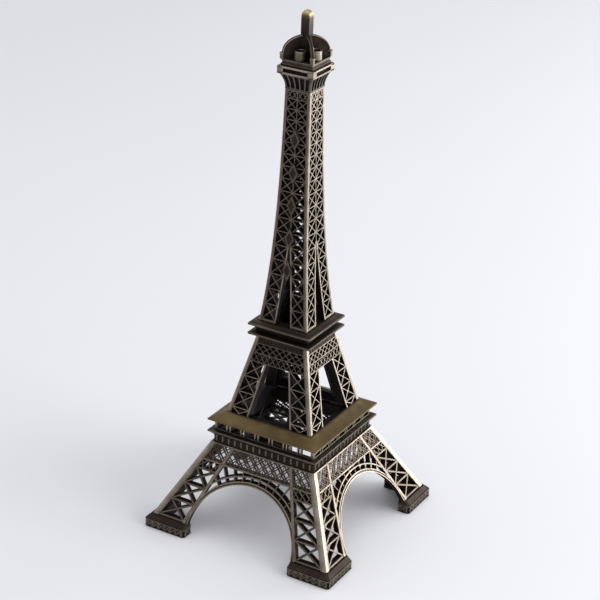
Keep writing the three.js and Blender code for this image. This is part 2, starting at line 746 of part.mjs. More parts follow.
function shaftHalf(z) {
  const fall = Math.exp(-(z - UPPER_DECK_TOP) / SHAFT_CURVE);
  return lerp(SHAFT_FAR_HALF, SHAFT_FOOT_HALF, fall);
}

// Heights of the horizontals between cells. Each cell is a little lower than the one below.
function shaftLevels() {
  const bottom = UPPER_DECK_TOP + SHAFT_RAIL;
  const levels = [bottom];
  let total = 0;
  for (let i = 0; i < SHAFT_CELL_COUNT; i++) {
    total += lerp(1, SHAFT_CELL_TAPER, i / (SHAFT_CELL_COUNT - 1));
    levels.push(total);
  }
  return levels.map((value, i) => (i === 0 ? bottom : lerp(bottom, SHAFT_CELLS_TOP, value / total)));
}

function shaftGapX(z) {
  return Math.max(0, lineAt(z, UPPER_DECK_TOP, SHAFT_GAP_HALF, SHAFT_GAP_TOP, 0));
}

function shaftColumnOpenings() {
  const levels = shaftLevels();
  const half = SHAFT_DIAGONAL / 2;
  const openings = [];
  const outerAt = (z) => shaftHalf(z) - SHAFT_CORNER_BAR;
  const innerAt = (z) => Math.max(SHAFT_MIDDLE_BAR / 2, shaftGapX(z) + SHAFT_MIDDLE_BAR);
  for (let i = 0; i < SHAFT_CELL_COUNT; i++) {
    const low = levels[i] + half;
    const high = levels[i + 1] - half;
    const corners = [
      [innerAt(low), low],
      [outerAt(low), low],
      [outerAt(high), high],
      [innerAt(high), high],
    ];
    openings.push(...crossedOpenings(corners, SHAFT_DIAGONAL));
  }
  return openings.flatMap((opening) => [opening, mirrored(opening)]);
}

// A row of small diamonds over the cells, under the corbel.
function shaftRowOpenings() {
  const middle = SHAFT_CELLS_TOP + SHAFT_ROW_HEIGHT / 2;
  const halfHeight = (SHAFT_ROW_HEIGHT - SHAFT_DIAGONAL) / 2;
  const inner = SHAFT_MIDDLE_BAR / 2;
  const pitch = (shaftHalf(middle) - SHAFT_CORNER_BAR - inner) / SHAFT_ROW_CELLS;
  const openings = [];
  for (let i = 0; i < SHAFT_ROW_CELLS; i++) {
    const x = inner + (i + 0.5) * pitch;
    openings.push(diamond(x, middle, (pitch - SHAFT_DIAGONAL) / 2, halfHeight));
  }
  return openings.flatMap((opening) => [opening, mirrored(opening)]);
}

// The narrow gap between the shaft's columns, open at the deck and closed near its tip.
function shaftGap() {
  const top = SHAFT_GAP_TOP - SHAFT_MIDDLE_BAR;
  const footX = shaftGapX(UPPER_DECK_TOP);
  const topX = shaftGapX(top);
  return [[-footX, UPPER_DECK_TOP], [footX, UPPER_DECK_TOP], [topX, top], [-topX, top]];
}

function shaftPanel() {
  const inner = shaftLevels().slice(1);
  const levels = [UPPER_DECK_TOP + SEAT_GAP, ...inner, SHAFT_TOP - SEAT_GAP];
  const openings = [shaftGap(), ...shaftColumnOpenings(), ...shaftRowOpenings()];
  return leaningPanel(levels, openings, shaftHalf, SHAFT_WALL);
}

// A flat lozenge that leans with the front of the shaft around the height z.
function ornament(z) {
  const top = z + ORNAMENT_HALF_HEIGHT;
  const bottom = z - ORNAMENT_HALF_HEIGHT;
  const lean = (shaftHalf(bottom) - shaftHalf(top)) / (top - bottom);
  const outline = diamond(0, z, ORNAMENT_HALF_WIDTH, ORNAMENT_HALF_HEIGHT);
  const back = (shaftHalf(bottom) + shaftHalf(top)) / 2 + SEAT_GAP;
  const shear = new THREE.Matrix4().makeShear(0, 0, 0, 0, 0, lean);
  const plate = elevationPrism(outline, ORNAMENT_DEPTH).applyMatrix4(shear);
  return plate.translate(0, -back - lean * z, 0);
}

function addShaft() {
  const geometry = shaftPanel();
  SIDES.forEach((side, i) => place(`shaft_panel_${side}`, geometry, BRONZE, sideGroup(i)));
  for (let i = 0; i < ORNAMENT_COUNT; i++) {
    const z = lerp(ORNAMENT_HIGHEST, ORNAMENT_LOWEST, i / (ORNAMENT_COUNT - 1));
    place(`shaft_ornament_${i + 1}`, ornament(z), BRONZE);
  }
}

// ---------------------------------------------------------------- crown

function addCorbel() {
  const outer = [];
  for (let i = 0; i <= CORBEL_FACETS; i++) {
    const share = i / CORBEL_FACETS;
    const half = lerp(CORBEL_FOOT_HALF, CORBEL_HEAD_HALF, share * share);
    outer.push([half, lerp(SHAFT_TOP, CORBEL_TOP - SEAT_GAP, share)]);
  }
  place('crown_corbel', squareTurned(blockProfile(outer)), DARK_BRONZE);
}

function addPlatform() {
  const half = PLATFORM_HALF;
  const top = PLATFORM_TOP - SEAT_GAP;
  let solid = toSolid(boxBetween([-half, -half, CORBEL_TOP], [half, half, top]));
  const slotHalf = half - PLATFORM_CORNER;
  const middle = (CORBEL_TOP + top) / 2;
  for (let i = 0; i < SIDES.length; i++) {
    const slot = boxBetween(
      [-slotHalf, -half - CUT_MARGIN, middle - PLATFORM_SLOT_HEIGHT / 2],
      [slotHalf, -half + PLATFORM_SLOT_DEPTH, middle + PLATFORM_SLOT_HEIGHT / 2],
    );
    solid = solid.subtract(toSolid(slot.rotateZ(i * QUARTER_TURN)));
  }
  place('crown_platform', toGeometry(solid), BRONZE);
}

function addCrownPlinth() {
  const half = CROWN_PLINTH_HALF;
  const block = boxBetween([-half, -half, PLATFORM_TOP], [half, half, CROWN_PLINTH_TOP]);
  place('crown_plinth', block, BRONZE);
}

// One casting: two arched plates that cross on the diagonals, with a post at each end and a
// square pocket in the middle for the mast. The arches start to curve at the posts' tops.
function addCrownArches() {
  const bottom = CROWN_PLINTH_TOP + SEAT_GAP;
  const spring = CROWN_POST_TOP - bottom;
  const rise = ARCH_CROWN - CROWN_POST_TOP;
  const shape = new THREE.Shape();
  shape.moveTo(-ARCH_FOOT_RADIUS, 0);
  shape.lineTo(ARCH_FOOT_RADIUS, 0);
  shape.absellipse(0, spring, ARCH_FOOT_RADIUS, rise, 0, Math.PI, false, 0);
  const settings = { depth: ARCH_WEB, bevelEnabled: false, curveSegments: CROWN_ARCH_FACETS };
  const plate = new THREE.ExtrudeGeometry(shape, settings);
  plate.translate(0, 0, -ARCH_WEB / 2).rotateX(QUARTER_TURN).translate(0, 0, bottom);
  let solid = toSolid(plate.clone().rotateZ(Math.PI / 4));
  solid = solid.add(toSolid(plate.clone().rotateZ(-Math.PI / 4)));
  const outer = CROWN_POST_OUTER;
  const inner = outer - CROWN_POST;
  for (let i = 0; i < CORNERS.length; i++) {
    const post = boxBetween([inner, inner, bottom], [outer, outer, CROWN_POST_TOP]);
    solid = solid.add(toSolid(post.rotateZ(i * QUARTER_TURN)));
  }
  const hole = MAST_HALF + MAST_CLEARANCE;
  const pocketBottom = bottom + MAST_POCKET_FLOOR;
  const pocketTop = ARCH_CROWN + CUT_MARGIN;
  const pocket = boxBetween([-hole, -hole, pocketBottom], [hole, hole, pocketTop]);
  place('crown_arches', toGeometry(solid.subtract(toSolid(pocket))), BRONZE);
}

function addDrums() {
  const bottom = CROWN_PLINTH_TOP + SEAT_GAP;
  for (let i = 0; i < SIDES.length; i++) {
    const drum = new THREE.CylinderGeometry(DRUM_RADIUS, DRUM_RADIUS, DRUM_HEIGHT, DRUM_FACETS);
    drum.rotateX(QUARTER_TURN).translate(0, -DRUM_PLACE, bottom + DRUM_HEIGHT / 2);
    place(`crown_drum_${SIDES[i]}`, drum, BRONZE, sideGroup(i));
  }
}

function addMast() {
  const bottom = CROWN_PLINTH_TOP + MAST_POCKET_FLOOR + 2 * SEAT_GAP;
  const profile = blockProfile([
    [MAST_HALF, bottom],
    [MAST_HALF, MAST_TOP - MAST_CHAMFER],
    [MAST_HALF - MAST_CHAMFER, MAST_TOP],
  ]);
  place('mast', squareTurned(profile), BRASS);
}

addFeet();
addBase();
addFirstDeck();
addMiddle();
addSecondDeck();
addShaft();
addCorbel();
addPlatform();
addCrownPlinth();
addCrownArches();
addDrums();
addMast();

export default tower;
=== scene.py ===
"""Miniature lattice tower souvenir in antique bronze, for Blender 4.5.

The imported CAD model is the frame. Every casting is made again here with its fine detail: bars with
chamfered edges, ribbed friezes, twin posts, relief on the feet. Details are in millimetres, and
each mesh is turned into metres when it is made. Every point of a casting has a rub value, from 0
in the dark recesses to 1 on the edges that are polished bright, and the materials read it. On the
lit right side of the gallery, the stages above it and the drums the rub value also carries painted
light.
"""

from itertools import product
from math import cos, exp, floor, hypot, pi, radians, sin, sqrt

import bmesh
import bpy
from mathutils import Matrix, Vector


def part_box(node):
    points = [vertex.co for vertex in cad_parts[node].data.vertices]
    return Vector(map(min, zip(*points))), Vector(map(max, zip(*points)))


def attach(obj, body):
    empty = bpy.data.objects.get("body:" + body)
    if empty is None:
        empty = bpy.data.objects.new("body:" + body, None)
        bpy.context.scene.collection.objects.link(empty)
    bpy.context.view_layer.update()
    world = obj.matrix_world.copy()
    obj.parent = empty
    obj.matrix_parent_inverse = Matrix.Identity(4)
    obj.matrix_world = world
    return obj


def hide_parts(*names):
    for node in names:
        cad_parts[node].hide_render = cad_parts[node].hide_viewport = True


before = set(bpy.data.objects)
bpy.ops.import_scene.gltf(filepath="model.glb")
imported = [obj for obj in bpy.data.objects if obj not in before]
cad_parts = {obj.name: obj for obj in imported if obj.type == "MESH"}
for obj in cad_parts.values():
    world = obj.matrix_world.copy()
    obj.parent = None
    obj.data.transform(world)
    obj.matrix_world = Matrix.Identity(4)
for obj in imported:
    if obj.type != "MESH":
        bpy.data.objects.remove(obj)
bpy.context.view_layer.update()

MM = 0.001

SIDES = ("front", "right", "back", "left")
CORNERS = ("front_left", "front_right", "back_right", "back_left")

# ---------------------------------------------------------------- sizes of the details, mm

# Rub values of the surfaces.
RUB_INSIDE = 0.0
RUB_RECESS = 0.12
RUB_FLANK = 0.14
RUB_SOFT = 0.34
RUB_BAND = 0.4
RUB_LATTICE = 0.5
RUB_BAR = 0.62
RUB_BROAD = 0.72
RUB_WORN = 0.8
RUB_EDGE = 1.0
# Painted light: added to the rub of the raised surfaces on the lit side of the gallery, the stages
# above it and the drums, to paint that side lighter. An empty dictionary gives all four sides the
# same colour.
SIDE_PAINTED_LIGHT = {"right": 0.2}

FINE_CHAMFER = 0.12
# How far the lattice bars run into the bars around them, on the base and above it.
BASE_OVERLAP = 0.4
FINE_OVERLAP = 0.3
FLANK_FADE = 0.45
MITRE_GAP = 0.1

FOOT_DEPTH = 6.2
FOOT_CHAMFER = 1.0
FOOT_BLOCK_HEIGHT = 4.2
FOOT_STEP_RISE = 0.6
FOOT_STEP_IN = 0.5
FOOT_HEAD_IN = 2.2
FOOT_RELIEF = 0.35
FOOT_RELIEF_LOW = 0.6
FOOT_RELIEF_HIGH = 3.6
FOOT_BAY_COUNT = 7
FOOT_POST = 0.9
FOOT_CROSS = 0.7

BASE_WALL = 2.8
BASE_CORNER_BAR = 3.0
LEG_BAR = 1.6
LEG_TOE = 1.7
LEG_HEAD_X = 15.5
LEG_CELL_COUNT = 3
LEG_DIAGONAL = 0.8
LEG_ROW_HEIGHT = 3.9
LEG_ROW_CELLS = 3
LEG_ROW_BAR = 0.5
ARCH_CENTRE_Z = 4.0
ARCH_SET_IN = 1.3
ARCH_RISE = 25.5
ARCH_RIM = 1.6
ARCH_LADDER = 1.7
ARCH_MIDDLE_RIM = 0.7
ARCH_LINE = 0.5
ARCH_TIE_PITCH = 4.0
ARCH_TIE = 0.6
CHORD = 0.7
BAND_HEIGHT = 8.4
BAND_PITCH = 4.9
BAND_SLOPE = 0.86
BAND_BAR = 0.55
BAND_TWIN = 3.3
BAND_DEPTH = 0.7
BAND_POST = 0.35

FLUTE_PITCH = 3.3
FLUTE_GAP = 2.4
FLUTE_DEPTH = 0.3
FRIEZE_HEIGHT = 3.5
FRIEZE_RAIL = 0.5
CORNICE_OVERHANG = 2.1
CORNICE_WALL = 2.4
CORNICE_LIP = 0.7
GALLERY_WALL = 1.4
GALLERY_BAY_COUNT = 7
GALLERY_POST = 0.75
GALLERY_POST_OFFSET = 0.85
GALLERY_RAIL = 0.6
DECK_EDGE = 0.6
DECK_SEAT = 2.8

MIDDLE_WALL = 5.0
MIDDLE_CORNER_BAR = 1.9
GAP_BAR = 0.9
GAP_FOOT_X = 11.2
GAP_HEAD_X = 5.9
COLUMN_HALF_CELL = 2.7
COLUMN_CELL_COUNT = 3
COLUMN_DIAGONAL = 0.5
COLUMN_DEPTH = 3.2
MIDDLE_LOWER_BAND = 4.1
MIDDLE_UPPER_BAND = 4.6
MIDDLE_FRIEZE = 3.3
MIDDLE_FLUTE_HEIGHT = 1.8
MIDDLE_LOWER_PITCH = 2.9
MIDDLE_UPPER_PITCH = 3.5
MIDDLE_BAND_BAR = 0.42
MIDDLE_BAND_DEPTH = 2.0
MIDDLE_FLUTE_PITCH = 1.9
MIDDLE_FLUTE_GAP = 0.5
MIDDLE_FLUTE_DEPTH = 0.25

UPPER_DECK_SEAT = 3.4
UPPER_DECK_EDGE = 0.7

SHAFT_FAR_HALF = 5.65
SHAFT_CURVE = 51.0
SHAFT_WALL = 3.0
SHAFT_CORNER_BAR = 1.5
SHAFT_GAP_BAR = 0.8
SHAFT_MIDDLE_BAR = 0.55
SHAFT_DIAGONAL = 0.56
SHAFT_CELL_COUNT = 17
SHAFT_CELL_TAPER = 0.62
SHAFT_ROW_HEIGHT = 3.4
SHAFT_ROW_CELLS = 2
SHAFT_GAP_HALF = 3.9
SHAFT_GAP_HEIGHT = 40.0
SHAFT_RAIL = 0.8

CORBEL_LEVELS = 8
CORBEL_SLOT_DEPTH = 0.6
CORBEL_RIB = 0.65
CORBEL_RIB_COUNT = 4
PLATFORM_CORNER = 3.0
PLATFORM_SLOT_DEPTH = 1.2
PLATFORM_LIP = 0.95
CROWN_WEB = 0.7
CROWN_RIM = 1.5
CROWN_RIM_LINE = 0.45
CROWN_POST = 2.0
CROWN_POST_CAP = 0.9
CROWN_POST_HEIGHT = 3.0
CROWN_TIER = 0.9
DRUM_SEGMENTS = 40
MAST_CHAMFER = 1.2


# ---------------------------------------------------------------- the frame, in millimetres


def span(node):
    low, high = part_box(node)
    return Vector(low) / MM, Vector(high) / MM


FOOT_LOW, FOOT_HIGH = span("foot_plinth_back_right")
BASE_LOW, BASE_HIGH = span("base_panel_front")
CORNICE_LOW, CORNICE_HIGH = span("first_cornice")
GALLERY_LOW, GALLERY_HIGH = span("gallery_wall_front")
DECK_LOW, DECK_HIGH = span("first_deck_plate")
MIDDLE_LOW, MIDDLE_HIGH = span("middle_panel_front")
UPPER_CORNICE_LOW, UPPER_CORNICE_HIGH = span("second_deck_cornice")
UPPER_BAND_LOW, UPPER_BAND_HIGH = span("second_deck_band")
UPPER_DECK_LOW, UPPER_DECK_HIGH = span("second_deck_plate")
SHAFT_LOW, SHAFT_HIGH = span("shaft_panel_front")
CORBEL_LOW, CORBEL_HIGH = span("crown_corbel")
PLATFORM_LOW, PLATFORM_HIGH = span("crown_platform")
PLINTH_LOW, PLINTH_HIGH = span("crown_plinth")
CROWN_LOW, CROWN_HIGH = span("crown_arches")
MAST_LOW, MAST_HIGH = span("mast")

FOOT_HALF = FOOT_HIGH.x
FOOT_ARM_END = FOOT_LOW.x
LEG_FOOT_X = FOOT_ARM_END + LEG_TOE + LEG_BAR / 2
ARCH_HALF_SPAN = LEG_FOOT_X - LEG_BAR / 2 - ARCH_SET_IN
ARCH_BORDER = ARCH_RIM + ARCH_LADDER + ARCH_MIDDLE_RIM
BAND_LOW = BASE_HIGH.z - BAND_HEIGHT


def lerp(start, end, share):
    return start + (end - start) * share


def line_at(z, z0, v0, z1, v1):
    return lerp(v0, v1, (z - z0) / (z1 - z0))


def base_half(z):
    return line_at(z, BASE_LOW.z, -BASE_LOW.y, BASE_HIGH.z, BASE_WALL - BASE_HIGH.y)


def leg_x(z):
    return line_at(z, BASE_LOW.z, LEG_FOOT_X, BASE_HIGH.z, LEG_HEAD_X)


def middle_half(z):
    return line_at(z, MIDDLE_LOW.z, -MIDDLE_LOW.y, MIDDLE_HIGH.z, MIDDLE_WALL - MIDDLE_HIGH.y)


def shaft_half(z):
    fall = exp(-(z - SHAFT_LOW.z) / SHAFT_CURVE)
    return lerp(SHAFT_FAR_HALF, -SHAFT_LOW.y, fall)


# ---------------------------------------------------------------- castings


class Casting:
    """The mesh of one casting, made of closed lofted bodies. Every point keeps its rub value."""

    def __init__(self):
        self.points = []
        self.rubs = []
        self.faces = []

    def loft(self, loops, rubs, ring=False):
        """Joins loops of equal length. rubs has one row of values for each loop."""
        start = len(self.points)
        count = len(loops[0])
        for loop, row in zip(loops, rubs):
            self.points.extend(loop)
            self.rubs.extend(row)
        rows = len(loops)
        for i in range(rows if ring else rows - 1):
            low = start + i * count
            high = start + (i + 1) % rows * count
            for k in range(count):
                after = (k + 1) % count
                self.faces.append((low + k, low + after, high + after, high + k))
        if not ring:
            last = start + (rows - 1) * count
            self.faces.append(tuple(range(start + count - 1, start - 1, -1)))
            self.faces.append(tuple(range(last, last + count)))

    def mesh(self, name, turn, painted_light=0.0):
        """The finished mesh in metres, turned by quarter turns about the tower's axis."""
        body = bmesh.new()
        layer = body.verts.layers.float.new("rub")
        rotation = Matrix.Rotation(turn * pi / 2, 3, "Z")
        verts = [body.verts.new(rotation @ Vector(point) * MM) for point in self.points]
        for vert, rub in zip(verts, self.rubs):
            # Painted light: on a lit side the raised surfaces are painted lighter by the given
            # amount.
            vert[layer] = min(1.0, rub + painted_light) if rub > RUB_SOFT else rub
        for face in self.faces:
            body.faces.new([verts[i] for i in face])
        bmesh.ops.recalc_face_normals(body, faces=body.faces)
        mesh = bpy.data.meshes.new(name)
        body.to_mesh(mesh)
        body.free()
        mesh.shade_smooth()
        mesh.set_sharp_from_angle(angle=radians(28))
        return mesh


def on_side(half_at):
    """Maps an elevation point and its depth to the front side that follows half_at."""
    return lambda x, depth, z: (x, depth - half_at(z), z)


def ribbon_section(width, front, back, rub, chamfer, both=False):
    """A bar's section as (across, depth, rub). The front edges are chamfered, or both faces'.

    The flanks of a deep bar turn dark a short way behind the chamfer.
    """
    half = width / 2
    cut = min(chamfer, width * 0.3)
    edge = min(1.0, rub + 0.2)
    section = [
        (-half, front + cut, rub * 0.75),
        (cut - half, front, edge),
        (half - cut, front, edge),
        (half, front + cut, rub * 0.75),
    ]
    if both:
        section += [(half, back - cut, rub * 0.75), (half - cut, back, edge)]
        section += [(cut - half, back, edge), (-half, back - cut, rub * 0.75)]
    else:
        shade = min(front + cut + FLANK_FADE, back - 0.01)
        section += [(half, shade, RUB_FLANK), (half, back, RUB_INSIDE)]
        section += [(-half, back, RUB_INSIDE), (-half, shade, RUB_FLANK)]
    return section


def ribbon(casting, path, width, place, front, back, rub, chamfer=FINE_CHAMFER, both=False):
    """A bar of constant width along a path of (x, z) points on a surface."""
    section = ribbon_section(width, front, back, rub, chamfer, both)
    loops = []
    for i, (x, z) in enumerate(path):
        before = path[max(i - 1, 0)]
        after = path[min(i + 1, len(path) - 1)]
        length = hypot(after[0] - before[0], after[1] - before[1])
        across = ((after[1] - before[1]) / length, (before[0] - after[0]) / length)
        loops.append(
            [place(x + across[0] * s, depth, z + across[1] * s) for s, depth, _ in section]
        )
    casting.loft(loops, [[value for _, _, value in section]] * len(loops))


def corner_bars(casting, levels, half_at, width, wall, rub=RUB_BROAD, chamfer=0.3):
    """The two mitred bars at the sides of a panel, with a bright outer edge."""
    edge = min(1.0, rub + 0.15)
    section = [
        (wall, wall, RUB_INSIDE),
        (chamfer / 2, chamfer / 2, RUB_EDGE),
        (chamfer, 0, edge),
        (width - FINE_CHAMFER, 0, rub),
        (width, FINE_CHAMFER, rub),
        (width, FINE_CHAMFER + FLANK_FADE, RUB_FLANK),
        (width, wall, RUB_INSIDE),
    ]
    rubs = [[value for _, _, value in section]] * len(levels)
    for sign in (1, -1):
        loops = []
        for z in levels:
            outer = half_at(z)
            side = outer - MITRE_GAP
            loops.append([(sign * (side - inset), depth - outer, z) for inset, depth, _ in section])
        casting.loft(loops, rubs)


def clipped(start, end, limit_at):
    """The part of a straight bar that stays between -limit_at(z) and limit_at(z), or None."""
    low, high = 0.0, 1.0
    for sign in (1, -1):
        room_start = limit_at(start[1]) - sign * start[0]
        room_end = limit_at(end[1]) - sign * end[0]
        if room_start <= 0 and room_end <= 0:
            return None
        if room_start < 0:
            low = max(low, room_start / (room_start - room_end))
        if room_end < 0:
            high = min(high, room_start / (room_start - room_end))
    if high - low < 0.02:
        return None
    return [tuple(lerp(a, b, share) for a, b in zip(start, end)) for share in (low, high)]


def crossed(casting, corners, width, place, front, back, rub):
    """Two diagonals in a cell, given as lower left, lower right, upper right, upper left."""
    for start, end in ((corners[0], corners[2]), (corners[1], corners[3])):
        ribbon(casting, [start, end], width, place, front, back, rub)


def square_loop(half, z, cut=0.2):
    """A square of half width half with its corners cut off."""
    inner = half - min(cut, half * 0.4)
    corner = [(half, -inner), (half, inner)]
    loop = []
    for _ in range(4):
        loop.extend((x, y, z) for x, y in corner)
        corner = [(-y, x) for x, y in corner]
    return loop


def square_body(casting, profile, ring=False, cut=0.2):
    """A square block, or a ring where the profile closes, from (half width, z, rub) points."""
    loops = [square_loop(half, z, cut) for half, z, _ in profile]
    casting.loft(loops, [[rub] * 8 for _, _, rub in profile], ring)


def block(casting, low, high, rub, cut=0.15):
    """A box with every edge chamfered."""
    edge = min(1.0, rub + 0.25)

    def loop(inset, z):
        x0, y0 = low[0] + inset, low[1] + inset
        x1, y1 = high[0] - inset, high[1] - inset
        return [
            (x0 + cut, y0, z), (x1 - cut, y0, z), (x1, y0 + cut, z), (x1, y1 - cut, z),
            (x1 - cut, y1, z), (x0 + cut, y1, z), (x0, y1 - cut, z), (x0, y0 + cut, z),
        ]

    loops = [loop(cut, low[2]), loop(0, low[2] + cut), loop(0, high[2] - cut), loop(cut, high[2])]
    casting.loft(loops, [[edge] * 8, [edge] * 8, [edge] * 8, [rub] * 8])


def flutes(casting, half_at, low, high, pitch, gap, depth, reach, rub):
    """A row of upright bars with narrow slots between them, from -reach to reach."""
    count = max(1, round(2 * reach / pitch))
    step = 2 * reach / count
    place = on_side(half_at)
    for i in range(count):
        x = -reach + (i + 0.5) * step
        ribbon(casting, [(x, low), (x, high)], step - gap, place, 0, depth + 0.05, rub)


# ---------------------------------------------------------------- materials


class Nodes:
    """A short way to add and join shader nodes."""

    def __init__(self, material):
        material.use_nodes = True
        self.tree = material.node_tree
        self.tree.nodes.clear()

    def add(self, kind, links=(), **values):
        node = self.tree.nodes.new(kind)
        for name, value in values.items():
            setattr(node, name, value)
        for socket, source in dict(links).items():
            if isinstance(source, bpy.types.NodeSocket):
                self.tree.links.new(source, node.inputs[socket])
            else:
                node.inputs[socket].default_value = source
        return node

    def math(self, operation, first, second, clamp=False):
        node = self.add("ShaderNodeMath", {0: first, 1: second}, operation=operation)
        node.use_clamp = clamp
        return node.outputs[0]

    def ramp(self, source, stops):
        node = self.add("ShaderNodeValToRGB", {0: source})
        elements = node.color_ramp.elements
        while len(elements) < len(stops):
            elements.new(0.5)
        for element, (position, colour) in zip(elements, stops):
            element.position = position
            element.color = (*colour, 1.0)
        return node.outputs[0]

    def noise(self, coordinates, scale, detail, roughness=0.5):
        links = {"Vector": coordinates, "Scale": scale, "Detail": detail, "Roughness": roughness}
        return self.add("ShaderNodeTexNoise", links).outputs[0]

    def stretched(self, coordinates, scale):
        links = {"Vector": coordinates, "Scale": scale}
        return self.add("ShaderNodeMapping", links).outputs[0]


def antique_metal(name, stops, rough_low, rough_high):
    """Blackened cast metal, bright where rub is high: rubbed wear, plus painted light on a lit side.
    """
    material = bpy.data.materials.new(name)
    nodes = Nodes(material)
    place = nodes.add("ShaderNodeTexCoord").outputs["Object"]
    rub = nodes.add("ShaderNodeAttribute", attribute_name="rub").outputs["Fac"]
    mottle = nodes.noise(place, 160.0, 5.0, 0.6)
    brushed = nodes.noise(nodes.stretched(place, (1.0, 1.0, 0.06)), 2600.0, 3.0)
    pits = nodes.noise(place, 2400.0, 4.0, 0.7)
    worn = nodes.math("MULTIPLY_ADD", mottle, 0.36)
    worn.node.inputs[2].default_value = -0.18
    streak = nodes.math("MULTIPLY_ADD", brushed, 0.3)
    streak.node.inputs[2].default_value = -0.15
    level = nodes.math("ADD", rub, nodes.math("ADD", worn, streak), clamp=True)
    colour = nodes.ramp(level, stops)
    rough = nodes.add(
        "ShaderNodeMapRange",
        {"Value": level, "To Min": rough_high, "To Max": rough_low},
    ).outputs[0]
    relief = nodes.math("ADD", nodes.math("MULTIPLY", brushed, 0.6), pits)
    bump = nodes.add(
        "ShaderNodeBump", {"Height": relief, "Strength": 0.28, "Distance": 0.00006}
    ).outputs[0]
    shader = nodes.add(
        "ShaderNodeBsdfPrincipled",
        {"Base Color": colour, "Roughness": rough, "Normal": bump, "Metallic": 0.92},
    )
    nodes.add("ShaderNodeOutputMaterial", {"Surface": shader.outputs[0]})
    return material


BRONZE = antique_metal(
    "antique_bronze",
    [
        (0.0, (0.012, 0.008, 0.007)),
        (0.35, (0.036, 0.025, 0.019)),
        (0.6, (0.098, 0.078, 0.061)),
        (0.8, (0.19, 0.155, 0.118)),
        (1.0, (0.44, 0.385, 0.31)),
    ],
    0.34,
    0.6,
)
BRASS = antique_metal(
    "rubbed_brass",
    [
        (0.0, (0.008, 0.007, 0.006)),
        (0.35, (0.048, 0.036, 0.026)),
        (0.7, (0.165, 0.115, 0.052)),
        (1.0, (0.50, 0.39, 0.20)),
    ],
    0.3,
    0.55,
)
DARK_BRONZE = antique_metal(
    "dark_bronze",
    [
        (0.0, (0.008, 0.007, 0.007)),
        (0.4, (0.030, 0.025, 0.022)),
        (0.75, (0.10, 0.085, 0.072)),
        (1.0, (0.28, 0.24, 0.20)),
    ],
    0.38,
    0.62,
)
LOOKS = {"bronze": BRONZE, "brass_rubbed": BRASS, "dark_bronze": DARK_BRONZE}


def piece(node, casting, slot="bronze", turn=0, painted_light=0.0):
    """The visual piece that stands for one CAD node."""
    name = f"{node}_detail"
    # The painted light for a lit side is handed on to the mesh.
    made = bpy.data.objects.new(name, casting.mesh(name, turn, painted_light))
    bpy.context.scene.collection.objects.link(made)
    made.data.materials.append(LOOKS[slot])
    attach(made, "root")
    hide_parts(node)
    return made


def four_sides(prefix, casting, with_painted_light=True):
    for turn, side in enumerate(SIDES):
        # Painted light: the raised surfaces of the lit side are painted lighter, unless turned off.
        painted_light = SIDE_PAINTED_LIGHT.get(side, 0.0) if with_painted_light else 0.0
        piece(f"{prefix}_{side}", casting, turn=turn, painted_light=painted_light)


# ---------------------------------------------------------------- feet


def foot_loop(z, inset, end_inset):
    """An L in plan, its outer corner at the foot's own corner, with chamfered ends."""
    outer = FOOT_HALF - inset
    end = FOOT_ARM_END + end_inset
    inner = FOOT_HALF - FOOT_DEPTH
    cut = FOOT_CHAMFER
    outline = [
        (inner, end), (outer - cut, end), (outer, end + cut), (outer, outer - cut),
        (outer - cut, outer), (end + cut, outer), (end, outer - cut), (end, inner),
        (inner, inner),
    ]
    return [(x, y, z) for x, y in outline]


def foot_relief(casting, start, end, place):
    """Posts and small crosses in the sunk band of one outer face."""
    low, high = FOOT_RELIEF_LOW - 0.05, FOOT_RELIEF_HIGH + 0.05
    bays = max(1, round((end - start) / ((FOOT_HALF - FOOT_ARM_END) / FOOT_BAY_COUNT)))
    pitch = (end - start) / bays
    back = FOOT_RELIEF + 0.1
    for i in range(bays + 1):
        x = start + i * pitch
        ribbon(casting, [(x, low), (x, high)], FOOT_POST, place, 0.1, back, RUB_LATTICE)
    for i in range(bays):
        left = start + i * pitch
        corners = [(left, low), (left + pitch, low), (left + pitch, high), (left, high)]
        crossed(casting, corners, FOOT_CROSS, place, 0.15, back, RUB_LATTICE)


